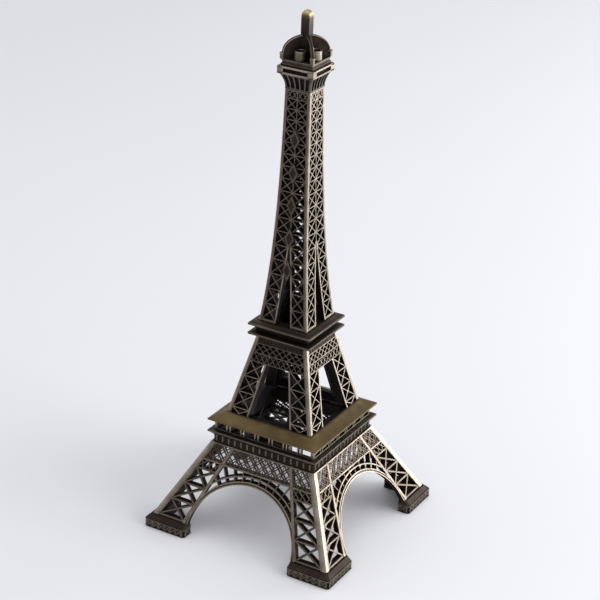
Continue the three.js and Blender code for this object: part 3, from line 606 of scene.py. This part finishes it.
def make_feet():
    casting = Casting()
    rim = 0.15
    step_top = FOOT_BLOCK_HEIGHT + FOOT_STEP_RISE
    levels = [
        (0, rim, rim, RUB_RECESS),
        (rim, 0, 0, RUB_LATTICE),
        (FOOT_RELIEF_LOW, 0, 0, RUB_LATTICE),
        (FOOT_RELIEF_LOW, FOOT_RELIEF, FOOT_RELIEF, RUB_RECESS),
        (FOOT_RELIEF_HIGH, FOOT_RELIEF, FOOT_RELIEF, RUB_RECESS),
        (FOOT_RELIEF_HIGH, 0, 0, RUB_LATTICE),
        (FOOT_BLOCK_HEIGHT - rim, 0, 0, RUB_BROAD),
        (FOOT_BLOCK_HEIGHT, rim, rim, RUB_LATTICE),
        (FOOT_BLOCK_HEIGHT, FOOT_STEP_IN, rim, RUB_RECESS),
        (step_top - rim, FOOT_STEP_IN, rim, RUB_LATTICE),
        (step_top, FOOT_STEP_IN + rim, 2 * rim, RUB_SOFT),
        (FOOT_HIGH.z - rim, FOOT_HEAD_IN, 3 * rim, RUB_SOFT),
        (FOOT_HIGH.z, FOOT_HEAD_IN + rim, 4 * rim, RUB_RECESS),
    ]
    loops = [foot_loop(z, inset, end_inset) for z, inset, end_inset, _ in levels]
    casting.loft(loops, [[rub] * 9 for _, _, _, rub in levels])
    start = FOOT_ARM_END + FOOT_CHAMFER + FOOT_POST / 2
    end = FOOT_HALF - FOOT_CHAMFER - FOOT_POST / 2
    inner = FOOT_HALF - FOOT_DEPTH + FOOT_POST / 2
    foot_relief(casting, start, end, lambda x, depth, z: (x, FOOT_HALF - depth, z))
    foot_relief(casting, start, end, lambda x, depth, z: (FOOT_HALF - depth, x, z))
    foot_relief(casting, inner, end, lambda x, depth, z: (x, FOOT_ARM_END + depth, z))
    foot_relief(casting, inner, end, lambda x, depth, z: (FOOT_ARM_END + depth, x, z))
    for i, corner in enumerate(CORNERS):
        piece(f"foot_plinth_{corner}", casting, turn=i + 2)


# ---------------------------------------------------------------- base stage


def arch_point(angle, outside):
    """A point of the arch's ellipse, at a distance outside the intrados."""
    x = (ARCH_HALF_SPAN + outside) * cos(angle)
    return (x, ARCH_CENTRE_Z + (ARCH_RISE + outside) * sin(angle))


def arch_rim(casting, outside, width, place, front, back, rub):
    """One rim of the arch, from leg to leg."""
    centre = outside + width / 2
    angle = 0.0
    x, z = arch_point(angle, centre)
    while z < BASE_LOW.z or x > leg_x(z):
        angle += 0.005
        x, z = arch_point(angle, centre)
    steps = 56
    path = [arch_point(lerp(angle, pi - angle, i / steps), centre) for i in range(steps + 1)]
    ribbon(casting, path, width, place, front, back, rub)


def arch_tie_angles():
    """The angles of the ties on one half, at equal steps along the intrados."""
    angles = []
    step = 0.002
    length = ARCH_TIE_PITCH / 2
    angle = pi / 2
    while angle > 0:
        length += hypot(ARCH_HALF_SPAN * sin(angle), ARCH_RISE * cos(angle)) * step
        if length >= ARCH_TIE_PITCH:
            length -= ARCH_TIE_PITCH
            angles.append(angle)
        angle -= step
    return angles


def arch_ties(casting, place):
    """Ties across the arch's ladder, which run on to the band or to the leg."""
    for angle in arch_tie_angles():
        start = arch_point(angle, ARCH_RIM / 2)
        border = arch_point(angle, ARCH_BORDER)
        if border[0] > leg_x(border[1]):
            break
        along = (start[0], start[1] - ARCH_CENTRE_Z)
        reach = (BAND_LOW + CHORD / 2 - start[1]) / along[1]
        while start[0] + along[0] * reach > leg_x(start[1] + along[1] * reach):
            reach -= 0.01
        end = (start[0] + along[0] * reach, start[1] + along[1] * reach)
        for sign in (1, -1):
            path = [(sign * start[0], start[1]), (sign * end[0], end[1])]
            ribbon(casting, path, ARCH_TIE, place, 0.3, BASE_WALL, RUB_LATTICE)


def side_path(low, high, x_at, sign, steps=1):
    """An upright path along x_at, on the side given by sign."""
    levels = [lerp(low, high, i / steps) for i in range(steps + 1)]
    return [(sign * x_at(z), z) for z in levels]


def crossed_column(casting, levels, inner_at, outer_at, width, place, front, back, rub):
    """Crossed cells one above the other, with a horizontal bar between them."""
    for sign in (1, -1):
        for low, high in zip(levels, levels[1:]):
            corners = [
                (sign * inner_at(low), low),
                (sign * outer_at(low), low),
                (sign * outer_at(high), high),
                (sign * inner_at(high), high),
            ]
            crossed(casting, corners, width, place, front, back, rub)
        for z in levels:
            path = [(sign * inner_at(z), z), (sign * outer_at(z), z)]
            ribbon(casting, path, width, place, front * 0.5, back, rub)


def crossed_row(casting, low, high, cells, inner_at, outer_at, width, place, front, back):
    """A row of small crossed cells on both sides, each the same share of the row's length."""
    for sign in (1, -1):
        for i in range(cells):
            left, right = i / cells, i / cells + 1 / cells
            shares = ((low, left), (low, right), (high, right), (high, left))
            corners = [
                (sign * lerp(inner_at(z), outer_at(z), share), z) for z, share in shares
            ]
            crossed(casting, corners, width, place, front, back, RUB_LATTICE)


def lattice_band(
    casting, low, high, pitch, slope, bar, post, limit_at, place, back, twin=0, rub=RUB_LATTICE
):
    """Crossed diagonals between two chords. They meet at mid height, half way between the posts.

    With a twin distance every diagonal is a pair of thin bars, that far apart.
    """
    offsets = (-twin / 2, twin / 2) if twin else (0,)
    middle = (low + high) / 2
    reach = (high - middle) / slope
    count = floor(limit_at(low) / pitch) + 2
    for k in range(-count, count + 1):
        x = k * pitch
        for sign, offset in product((1, -1), offsets):
            start, end = x + offset - sign * reach, x + offset + sign * reach
            path = clipped((start, low), (end, high), limit_at)
            if path:
                ribbon(casting, path, bar, place, 0.15, back, rub)
        post_x = x + pitch / 2
        path = clipped((post_x, low), (post_x, high), limit_at)
        if post and path:
            ribbon(casting, path, post, place, 0.3, back, rub)


def chord(casting, z, width, half_at, inset, place, back, rub=RUB_BAR):
    """A horizontal bar between the corner bars."""
    x = half_at(z) - inset
    ribbon(casting, [(-x, z), (x, z)], width, place, 0, back, rub)


def make_base():
    casting = Casting()
    place = on_side(base_half)
    low, high = BASE_LOW.z, BASE_HIGH.z
    corner_bars(casting, [low, high], base_half, BASE_CORNER_BAR, BASE_WALL, RUB_WORN)
    for sign in (1, -1):
        path = side_path(low, high, leg_x, sign)
        ribbon(casting, path, LEG_BAR, place, 0, BASE_WALL, RUB_BAR, 0.2)

    cells_top = BAND_LOW - LEG_ROW_HEIGHT
    levels = [
        lerp(low + LEG_DIAGONAL / 2, cells_top, i / LEG_CELL_COUNT)
        for i in range(LEG_CELL_COUNT + 1)
    ]

    def outer_at(z):
        return base_half(z) - BASE_CORNER_BAR + BASE_OVERLAP

    def inner_at(z):
        return leg_x(z) + LEG_BAR / 2 - BASE_OVERLAP

    crossed_column(
        casting, levels, inner_at, outer_at, LEG_DIAGONAL, place, 0.4, BASE_WALL, RUB_LATTICE
    )
    row_low, row_high = cells_top, BAND_LOW + CHORD / 2
    crossed_row(
        casting, row_low, row_high, LEG_ROW_CELLS, inner_at, outer_at, LEG_ROW_BAR, place, 0.25,
        BASE_WALL,
    )

    arch_rim(casting, 0, ARCH_RIM, place, 0.4, BASE_WALL, RUB_SOFT)
    for outside in (0, ARCH_RIM - ARCH_LINE):
        arch_rim(casting, outside, ARCH_LINE, place, 0, 0.5, RUB_BROAD)
    arch_rim(casting, ARCH_RIM + ARCH_LADDER, ARCH_MIDDLE_RIM, place, 0, BASE_WALL, RUB_BAR)
    arch_ties(casting, place)

    band_low, band_high = BAND_LOW + CHORD / 2, high - CHORD / 2
    inset = BASE_CORNER_BAR - BASE_OVERLAP
    for z in (band_low, band_high):
        chord(casting, z, CHORD, base_half, inset, place, BASE_WALL)
    lattice_band(
        casting, band_low, band_high, BAND_PITCH, BAND_SLOPE, BAND_BAR, BAND_POST, outer_at,
        place, BAND_DEPTH, BAND_TWIN, RUB_BAND,
    )
    # The base panels get no painted light on their lit side.
    four_sides("base_panel", casting, with_painted_light=False)


# ---------------------------------------------------------------- first cornice to first deck


def make_first_cornice():
    low, high = CORNICE_LOW.z, CORNICE_HIGH.z
    ledge_half = CORNICE_HIGH.x
    frieze_half = ledge_half - CORNICE_OVERHANG
    hole = frieze_half - CORNICE_WALL
    frieze_low, frieze_top = low + FRIEZE_RAIL, low + FRIEZE_HEIGHT
    core = frieze_half - FLUTE_DEPTH
    profile = [
        (hole, low, RUB_INSIDE),
        (frieze_half, low, RUB_LATTICE),
        (frieze_half, frieze_low, RUB_LATTICE),
        (core, frieze_low, RUB_SOFT),
        (core, frieze_top - 0.1, RUB_RECESS),
        (frieze_half, frieze_top - 0.1, RUB_SOFT),
        (frieze_half + 0.25, frieze_top + 0.25, RUB_SOFT),
        (ledge_half - 0.7, high - CORNICE_LIP - 0.35, RUB_SOFT),
        (ledge_half, high - CORNICE_LIP, RUB_LATTICE),
        (ledge_half, high - 0.15, RUB_BROAD),
        (ledge_half - 0.15, high, RUB_BROAD),
        (ledge_half - 0.9, high, RUB_LATTICE),
        (hole, high, RUB_RECESS),
    ]
    casting = Casting()
    square_body(casting, profile, ring=True)
    for turn in range(4):
        side = Casting()
        reach = frieze_half - 0.2
        flutes(
            side, lambda z: frieze_half, frieze_low - 0.05, frieze_top, FLUTE_PITCH, FLUTE_GAP,
            FLUTE_DEPTH, reach, RUB_LATTICE,
        )
        add_turned(casting, side, turn)
    piece("first_cornice", casting)


def add_turned(casting, other, turn):
    """Adds a turned copy of another casting."""
    start = len(casting.points)
    rotation = Matrix.Rotation(turn * pi / 2, 3, "Z")
    casting.points.extend(tuple(rotation @ Vector(point)) for point in other.points)
    casting.rubs.extend(other.rubs)
    casting.faces.extend(tuple(start + i for i in face) for face in other.faces)


def make_gallery():
    casting = Casting()
    half = -GALLERY_LOW.y

    def half_at(z):
        return half

    place = on_side(half_at)
    low, high = GALLERY_LOW.z, GALLERY_HIGH.z
    pitch = 2 * half / GALLERY_BAY_COUNT
    corner_bars(casting, [low, high], half_at, GALLERY_WALL + 0.1, GALLERY_WALL)
    for z in (low + GALLERY_RAIL / 2, high - GALLERY_RAIL / 2):
        chord(casting, z, GALLERY_RAIL, half_at, GALLERY_WALL, place, GALLERY_WALL)
    for i in range(1, GALLERY_BAY_COUNT):
        for offset in (-GALLERY_POST_OFFSET, GALLERY_POST_OFFSET):
            x = -half + i * pitch + offset
            path = [(x, low + 0.3), (x, high - 0.3)]
            ribbon(casting, path, GALLERY_POST, place, 0.1, GALLERY_WALL, RUB_BROAD)
    four_sides("gallery_wall", casting)


def make_first_deck():
    low, high = DECK_LOW.z, DECK_HIGH.z
    outer = DECK_HIGH.x
    gallery_half = -GALLERY_LOW.y
    hole = -MIDDLE_LOW.y - DECK_SEAT
    inner = -MIDDLE_LOW.y
    edge_low, edge_high = low + DECK_EDGE, low + 2 * DECK_EDGE
    profile = [
        (hole, low, RUB_INSIDE),
        (gallery_half, low, RUB_RECESS),
        (outer, edge_low, RUB_LATTICE),
        (outer, edge_high - 0.15, RUB_BAR),
        (outer - 0.12, edge_high, RUB_BAR),
        (outer - 0.9, edge_high + 0.28, RUB_BAR),
        (outer - 1.1, edge_high + 0.38, RUB_BAR),
        (inner + 1.2, high - 0.45, RUB_BROAD),
        (inner + 0.2, high - 0.05, RUB_LATTICE),
        (inner, high, RUB_RECESS),
        (hole + 0.15, high, RUB_INSIDE),
        (hole, high - 0.15, RUB_INSIDE),
    ]
    casting = Casting()
    square_body(casting, profile, ring=True)
    piece("first_deck_plate", casting, "brass_rubbed")


# ---------------------------------------------------------------- second stage


def make_middle():
    casting = Casting()
    place = on_side(middle_half)
    low, high = MIDDLE_LOW.z, MIDDLE_HIGH.z
    wall = MIDDLE_WALL
    frieze_low = high - MIDDLE_FRIEZE
    upper_low = frieze_low - MIDDLE_UPPER_BAND
    gap_top = upper_low - MIDDLE_LOWER_BAND

    def gap_at(z):
        return line_at(z, low, GAP_FOOT_X, gap_top, GAP_HEAD_X)

    def inner_at(z):
        return gap_at(z) + GAP_BAR - FINE_OVERLAP

    def outer_at(z):
        return middle_half(z) - MIDDLE_CORNER_BAR + FINE_OVERLAP

    corner_bars(casting, [low, high], middle_half, MIDDLE_CORNER_BAR, wall)
    for sign in (1, -1):
        path = side_path(low, gap_top, lambda z: gap_at(z) + GAP_BAR / 2, sign)
        ribbon(casting, path, GAP_BAR, place, 0, wall, RUB_BAR)

    half_cell_top = low + COLUMN_HALF_CELL
    levels = [
        lerp(half_cell_top, gap_top, i / COLUMN_CELL_COUNT) for i in range(COLUMN_CELL_COUNT + 1)
    ]
    crossed_column(
        casting, levels, inner_at, outer_at, COLUMN_DIAGONAL, place, 0.25, COLUMN_DEPTH, RUB_BAR
    )
    for sign in (1, -1):
        foot = (sign * (inner_at(low) + outer_at(low)) / 2, low)
        for top_at in (inner_at, outer_at):
            top = (sign * top_at(half_cell_top), half_cell_top)
            ribbon(casting, [foot, top], COLUMN_DIAGONAL, place, 0.25, COLUMN_DEPTH, RUB_BAR)

    slope = (gap_top - upper_low) / -MIDDLE_LOWER_PITCH
    lattice_band(
        casting, gap_top, upper_low, MIDDLE_LOWER_PITCH, slope, MIDDLE_BAND_BAR, 0, outer_at,
        place, MIDDLE_BAND_DEPTH,
    )
    lattice_band(
        casting, upper_low, frieze_low, MIDDLE_UPPER_PITCH, BAND_SLOPE, MIDDLE_BAND_BAR, 0,
        outer_at, place, MIDDLE_BAND_DEPTH,
    )
    inset = MIDDLE_CORNER_BAR - FINE_OVERLAP
    for z in (gap_top, upper_low, frieze_low):
        chord(casting, z, 0.5, middle_half, inset, place, wall, RUB_LATTICE)
    strip_low = frieze_low + MIDDLE_FLUTE_HEIGHT
    strip_path_z = (strip_low + high) / 2
    chord(casting, strip_path_z, high - strip_low, middle_half, inset, place, wall, RUB_RECESS)
    back_z = (frieze_low + strip_low) / 2
    x = outer_at(back_z)
    ribbon(
        casting, [(-x, back_z), (x, back_z)], strip_low - frieze_low + 0.2, place,
        MIDDLE_FLUTE_DEPTH, wall, RUB_RECESS,
    )
    flutes(
        casting, middle_half, frieze_low, strip_low, MIDDLE_FLUTE_PITCH, MIDDLE_FLUTE_GAP,
        MIDDLE_FLUTE_DEPTH, x, RUB_RECESS,
    )
    four_sides("middle_panel", casting)


# ---------------------------------------------------------------- second deck


def make_second_deck():
    hole = -SHAFT_LOW.y - UPPER_DECK_SEAT
    band_half = UPPER_BAND_HIGH.x
    outer = UPPER_CORNICE_HIGH.x
    edge = UPPER_DECK_EDGE

    low, high = UPPER_CORNICE_LOW.z, UPPER_CORNICE_HIGH.z
    head = middle_half(MIDDLE_HIGH.z)
    casting = Casting()
    square_body(
        casting,
        [
            (hole, low, RUB_INSIDE),
            (head, low, RUB_RECESS),
            (head + 0.3, low + 0.25, RUB_SOFT),
            (outer - 0.5, high - 2 * edge - 0.15, RUB_SOFT),
            (outer, high - 2 * edge, RUB_SOFT),
            (outer, high - edge - 0.15, RUB_BROAD),
            (outer - 0.12, high - edge, RUB_BROAD),
            (outer - 0.6, high - edge + 0.1, RUB_LATTICE),
            (band_half, high, RUB_RECESS),
            (hole, high, RUB_INSIDE),
        ],
        ring=True,
        cut=0.6,
    )
    piece("second_deck_cornice", casting)

    low, high = UPPER_BAND_LOW.z, UPPER_BAND_HIGH.z
    casting = Casting()
    square_body(
        casting,
        [
            (hole, low, RUB_INSIDE),
            (band_half, low, RUB_RECESS),
            (band_half, low + 0.35, RUB_LATTICE),
            (band_half - 0.25, low + 0.5, RUB_RECESS),
            (band_half - 0.25, high - 0.5, RUB_RECESS),
            (band_half, high - 0.35, RUB_LATTICE),
            (band_half, high, RUB_RECESS),
            (hole, high, RUB_INSIDE),
        ],
        ring=True,
    )
    piece("second_deck_band", casting, "dark_bronze")

    low, high = UPPER_DECK_LOW.z, UPPER_DECK_HIGH.z
    top_half = -SHAFT_LOW.y + 0.4
    casting = Casting()
    square_body(
        casting,
        [
            (hole, low, RUB_INSIDE),
            (band_half, low, RUB_RECESS),
            (outer, low + edge, RUB_SOFT),
            (outer, low + 2 * edge - 0.15, RUB_BROAD),
            (outer - 0.12, low + 2 * edge, RUB_BROAD),
            (outer - 0.7, low + 2 * edge + 0.2, RUB_LATTICE),
            (outer - 0.9, low + 2 * edge + 0.3, RUB_SOFT),
            (top_half + 0.5, high - 0.2, RUB_LATTICE),
            (top_half, high, RUB_RECESS),
            (hole, high, RUB_INSIDE),
        ],
        ring=True,
        cut=0.6,
    )
    piece("second_deck_plate", casting)


# ---------------------------------------------------------------- shaft


def shaft_levels():
    """Heights of the horizontals. Each cell is a little lower than the one below it."""
    bottom = SHAFT_LOW.z + SHAFT_RAIL
    top = SHAFT_HIGH.z - SHAFT_RAIL - SHAFT_ROW_HEIGHT
    totals = [0.0]
    for i in range(SHAFT_CELL_COUNT):
        totals.append(totals[-1] + lerp(1, SHAFT_CELL_TAPER, i / (SHAFT_CELL_COUNT - 1)))
    return [lerp(bottom, top, total / totals[-1]) for total in totals]


def shaft_gap(z):
    gap_top = SHAFT_LOW.z + SHAFT_GAP_HEIGHT
    return max(0.0, line_at(z, SHAFT_LOW.z, SHAFT_GAP_HALF, gap_top, 0))


def make_shaft():
    casting = Casting()
    place = on_side(shaft_half)
    wall = SHAFT_WALL
    levels = shaft_levels()
    ends = [SHAFT_LOW.z, *levels, SHAFT_HIGH.z]
    corner_bars(casting, ends, shaft_half, SHAFT_CORNER_BAR, wall, RUB_BAR, 0.25)
    gap_top = SHAFT_LOW.z + SHAFT_GAP_HEIGHT
    low_levels = [z for z in ends if z < gap_top] + [gap_top]
    for sign in (1, -1):
        path = [(sign * (shaft_gap(z) + SHAFT_GAP_BAR / 2), z) for z in low_levels]
        ribbon(casting, path, SHAFT_GAP_BAR, place, 0, wall, RUB_BAR)
    path = [(0, z) for z in [gap_top - 1.0] + [z for z in ends if z > gap_top]]
    ribbon(casting, path, SHAFT_MIDDLE_BAR, place, 0.1, wall, RUB_LATTICE)

    def inner_at(z):
        gap = shaft_gap(z)
        return gap + SHAFT_GAP_BAR / 2 if gap > 0 else 0.1

    def outer_at(z):
        return shaft_half(z) - SHAFT_CORNER_BAR + 0.2

    crossed_column(
        casting, levels, inner_at, outer_at, SHAFT_DIAGONAL, place, 0.15, wall, RUB_LATTICE
    )
    row_low, row_high = levels[-1], SHAFT_HIGH.z - SHAFT_RAIL / 2
    crossed_row(
        casting, row_low, row_high, SHAFT_ROW_CELLS, inner_at, outer_at, SHAFT_DIAGONAL, place,
        0.15, wall,
    )
    for z in (SHAFT_LOW.z + SHAFT_RAIL / 2, SHAFT_HIGH.z - SHAFT_RAIL / 2):
        for sign in (1, -1):
            path = [(sign * inner_at(z), z), (sign * outer_at(z), z)]
            ribbon(casting, path, SHAFT_RAIL, place, 0, wall, RUB_LATTICE)
    four_sides("shaft_panel", casting)


def make_ornaments():
    """Plain faceted lozenges that lie on the front of the shaft."""
    for node in sorted(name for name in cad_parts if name.startswith("shaft_ornament")):
        low, high = span(node)
        centre = (low + high) / 2
        half_width = (high.x - low.x) / 2
        half_height = (high.z - low.z) / 2
        proud = -low.y - shaft_half(low.z)
        rings = [(0.05, 1.0, RUB_RECESS), (-proud * 0.6, 1.0, RUB_LATTICE)]
        rings += [(-proud, 0.82, RUB_BAR), (-proud, 0.66, RUB_BAR)]
        rings += [(-proud * 0.7, 0.56, RUB_SOFT), (-proud * 0.7, 0.2, RUB_SOFT)]
        casting = Casting()
        loops = []
        for depth, share, _ in rings:
            loops.append(
                [
                    (x * share, depth - shaft_half(centre.z + z * share), centre.z + z * share)
                    for x, z in (
                        (-half_width, 0), (0, -half_height), (half_width, 0), (0, half_height)
                    )
                ]
            )
        casting.loft(loops, [[rub] * 4 for _, _, rub in rings])
        piece(node, casting)


# ---------------------------------------------------------------- crown


def make_corbel():
    low, high = CORBEL_LOW.z, CORBEL_HIGH.z
    foot_half = shaft_half(SHAFT_HIGH.z)
    head_half = CORBEL_HIGH.x

    def half_at(z):
        share = (z - low) / (high - low)
        return lerp(foot_half, head_half, share * share)

    levels = [lerp(low, high, i / CORBEL_LEVELS) for i in range(CORBEL_LEVELS + 1)]
    casting = Casting()
    core = [(half_at(z) - CORBEL_SLOT_DEPTH, z, RUB_RECESS) for z in levels]
    square_body(casting, core)
    for start, end in ((low, low + 0.6), (high - 0.6, high)):
        square_body(
            casting,
            [(half_at(start), start, RUB_BAR), (half_at(end), end, RUB_BROAD)],
        )
    place = on_side(half_at)
    side = Casting()
    corner_bars(side, levels, half_at, 1.1, CORBEL_SLOT_DEPTH + 0.2, RUB_BAR, 0.25)
    for i in range(CORBEL_RIB_COUNT):
        share = (i + 1) / (CORBEL_RIB_COUNT + 1) * 2 - 1
        path = [(share * (half_at(z) - 0.5), z) for z in levels]
        ribbon(side, path, CORBEL_RIB, place, 0, CORBEL_SLOT_DEPTH + 0.05, RUB_BAR)
    for turn in range(4):
        add_turned(casting, side, turn)
    piece("crown_corbel", casting, "dark_bronze")


def make_platform():
    low, high = PLATFORM_LOW.z, PLATFORM_HIGH.z
    half = PLATFORM_HIGH.x
    core = half - PLATFORM_SLOT_DEPTH
    casting = Casting()
    block(casting, (-half, -half, low), (half, half, low + PLATFORM_LIP), RUB_BAR)
    block(casting, (-half, -half, high - PLATFORM_LIP), (half, half, high), RUB_BROAD)
    square_body(
        casting,
        [(core, low + 0.3, RUB_RECESS), (core, high - 0.3, RUB_RECESS)],
    )
    inner = half - PLATFORM_CORNER
    corner = Casting()
    block(corner, (inner, inner, low + 0.1), (half, half, high - 0.1), RUB_BAR)
    for turn in range(4):
        add_turned(casting, corner, turn)
    piece("crown_platform", casting)


def make_crown_plinth():
    low, high = PLINTH_LOW.z, PLINTH_HIGH.z
    half = PLINTH_HIGH.x
    casting = Casting()
    square_body(
        casting,
        [
            (half, low, RUB_RECESS),
            (half, low + CROWN_TIER - 0.12, RUB_BAR),
            (half - 0.12, low + CROWN_TIER, RUB_BROAD),
            (half - 0.45, low + CROWN_TIER, RUB_SOFT),
            (half - 0.45, high - 0.6, RUB_BAR),
            (half - 0.2, high - 0.45, RUB_BAR),
            (half - 0.2, high - 0.12, RUB_WORN),
            (half - 0.32, high, RUB_BAR),
        ],
    )
    piece("crown_plinth", casting)


def crown_arc(inset):
    """The outline of a crown arch in (x, z), moved in from its outer edge by inset."""
    low = CROWN_LOW.z
    spring = low + CROWN_POST_HEIGHT
    rise = CROWN_HIGH.z - spring - inset
    reach = (CROWN_HIGH.x - CROWN_POST / 2) * sqrt(2) - inset
    steps = 28
    arc = [(reach, low), (reach, lerp(low, spring, 0.5))]
    arc += [
        (reach * cos(pi * i / steps), spring + rise * sin(pi * i / steps))
        for i in range(steps + 1)
    ]
    return arc + [(-reach, lerp(low, spring, 0.5)), (-reach, low)]


def make_crown_arches():
    low = CROWN_LOW.z
    outer = CROWN_HIGH.x
    casting = Casting()
    for sign in (1, -1):
        turn = Matrix.Rotation(sign * pi / 4, 3, "Z")

        def place(x, depth, z, turn=turn):
            return tuple(turn @ Vector((x, depth, z)))

        web = crown_arc(CROWN_RIM_LINE)
        loops = [
            [place(x, depth, z) for x, z in web] for depth in (-CROWN_WEB / 2, CROWN_WEB / 2)
        ]
        casting.loft(loops, [[RUB_SOFT] * len(web)] * 2)
        rim = crown_arc(CROWN_RIM_LINE)
        half = CROWN_RIM / 2
        ribbon(
            casting, rim, 2 * CROWN_RIM_LINE - 0.2, place, 0.2 - half, half - 0.2, RUB_SOFT,
            both=True,
        )
        edge = crown_arc(CROWN_RIM_LINE / 2)
        for front in (-half, half - CROWN_RIM_LINE):
            ribbon(
                casting, edge, CROWN_RIM_LINE, place, front, front + CROWN_RIM_LINE, RUB_BROAD,
                both=True,
            )
    inner = outer - CROWN_POST
    post_top = low + CROWN_POST_HEIGHT
    post = Casting()
    body = 0.2
    block(
        post, (inner + body, inner + body, low), (outer - body, outer - body, post_top),
        RUB_LATTICE,
    )
    block(
        post, (inner, inner, post_top - CROWN_POST_CAP), (outer, outer, post_top), RUB_BAR, 0.25
    )
    for turn in range(4):
        add_turned(casting, post, turn)
    piece("crown_arches", casting)


def make_drums():
    low, high = span("crown_drum_front")
    radius = (high.x - low.x) / 2
    middle = (low.y + high.y) / 2
    profile = [
        (radius - 0.15, low.z, RUB_RECESS),
        (radius, low.z + 0.15, RUB_BAR),
        (radius, high.z - 0.25, RUB_BROAD),
        (radius - 0.2, high.z, RUB_EDGE),
        (radius - 0.55, high.z, RUB_EDGE),
        (radius - 0.75, high.z - 0.4, RUB_RECESS),
    ]
    angles = [2 * pi * i / DRUM_SEGMENTS for i in range(DRUM_SEGMENTS)]
    loops = [[(r * cos(a), middle + r * sin(a), z) for a in angles] for r, z, _ in profile]
    casting = Casting()
    casting.loft(loops, [[rub] * DRUM_SEGMENTS for _, _, rub in profile])
    four_sides("crown_drum", casting)


def make_mast():
    low, high = MAST_LOW.z, MAST_HIGH.z
    half = MAST_HIGH.x
    casting = Casting()
    square_body(
        casting,
        [
            (half, low, RUB_RECESS),
            (half, CROWN_HIGH.z, RUB_FLANK),
            (half, high - 3.4, RUB_SOFT),
            (half - 0.05, high - 2.2, RUB_BAR),
            (half - 0.3, high - MAST_CHAMFER, RUB_EDGE),
            (half - 0.8, high - 0.4, RUB_EDGE),
            (half - 1.3, high - 0.08, RUB_EDGE),
            (half - 1.6, high, RUB_BROAD),
        ],
        cut=0.35,
    )
    piece("mast", casting, "brass_rubbed")


# ---------------------------------------------------------------- stage


def aim(thing, eye, target):
    direction = Vector(target) - Vector(eye)
    thing.location = eye
    thing.rotation_euler = direction.to_track_quat("-Z", "Y").to_euler()


def make_camera():
    azimuth, elevation, roll = radians(29.71), radians(24.90), radians(2.11)
    distance = 0.866
    right = Vector((cos(azimuth), sin(azimuth), 0))
    back = Vector((sin(azimuth) * cos(elevation), -cos(azimuth) * cos(elevation), sin(elevation)))
    up = back.cross(right)
    target = right * 0.00125 + Vector((0, 0, 0.1124))
    data = bpy.data.cameras.new("camera")
    data.lens = 112.8
    data.clip_end = 20.0
    camera = bpy.data.objects.new("camera", data)
    bpy.context.scene.collection.objects.link(camera)
    side = right * cos(roll) + up * sin(roll)
    rise = up * cos(roll) - right * sin(roll)
    rotation = Matrix((side, rise, back)).transposed().to_4x4()
    camera.matrix_world = Matrix.Translation(target + back * distance) @ rotation
    bpy.context.scene.camera = camera


def area_light(name, eye, target, size, power, colour):
    data = bpy.data.lights.new(name, "AREA")
    data.shape = "RECTANGLE"
    data.size, data.size_y = size
    data.energy = power
    data.color = colour
    light = bpy.data.objects.new(name, data)
    bpy.context.scene.collection.objects.link(light)
    aim(light, eye, target)


def make_floor():
    half = 3.0
    mesh = bpy.data.meshes.new("floor")
    corners = [(-half, -half, 0), (half, -half, 0), (half, half, 0), (-half, half, 0)]
    mesh.from_pydata(corners, [], [(0, 1, 2, 3)])
    material = bpy.data.materials.new("pale_floor")
    nodes = Nodes(material)
    place = nodes.add("ShaderNodeTexCoord").outputs["Object"]
    cloud = nodes.noise(place, 3.0, 2.0)
    colour = nodes.ramp(cloud, [(0.0, (0.80, 0.80, 0.83)), (1.0, (0.84, 0.84, 0.87))])
    links = {"Base Color": colour, "Roughness": 0.55, "Specular IOR Level": 0.3}
    shader = nodes.add("ShaderNodeBsdfPrincipled", links)
    nodes.add("ShaderNodeOutputMaterial", {"Surface": shader.outputs[0]})
    mesh.materials.append(material)
    floor_piece = bpy.data.objects.new("floor", mesh)
    bpy.context.scene.collection.objects.link(floor_piece)


def make_light():
    world = bpy.data.worlds.new("studio")
    bpy.context.scene.world = world
    world.use_nodes = True
    background = world.node_tree.nodes["Background"]
    background.inputs["Color"].default_value = (0.96, 0.97, 1.0, 1)
    background.inputs["Strength"].default_value = 0.62
    centre = (0, 0, 0.1)
    area_light("key", (0.74, 0.90, 0.17), centre, (1.2, 0.32), 10.0, (0.99, 0.99, 1.0))
    area_light("top", (-0.2, 0.0, 2.2), centre, (2.4, 2.4), 12.0, (1.0, 1.0, 1.0))
    area_light("side", (1.3, 0.25, 0.75), centre, (1.0, 1.0), 12.0, (1.0, 1.0, 1.0))
    bpy.context.scene.view_settings.view_transform = "Standard"


make_camera()
make_floor()
make_light()
make_feet()
make_base()
make_first_cornice()
make_gallery()
make_first_deck()
make_middle()
make_second_deck()
make_shaft()
make_ornaments()
make_corbel()
make_platform()
make_crown_plinth()
make_crown_arches()
make_drums()
make_mast()
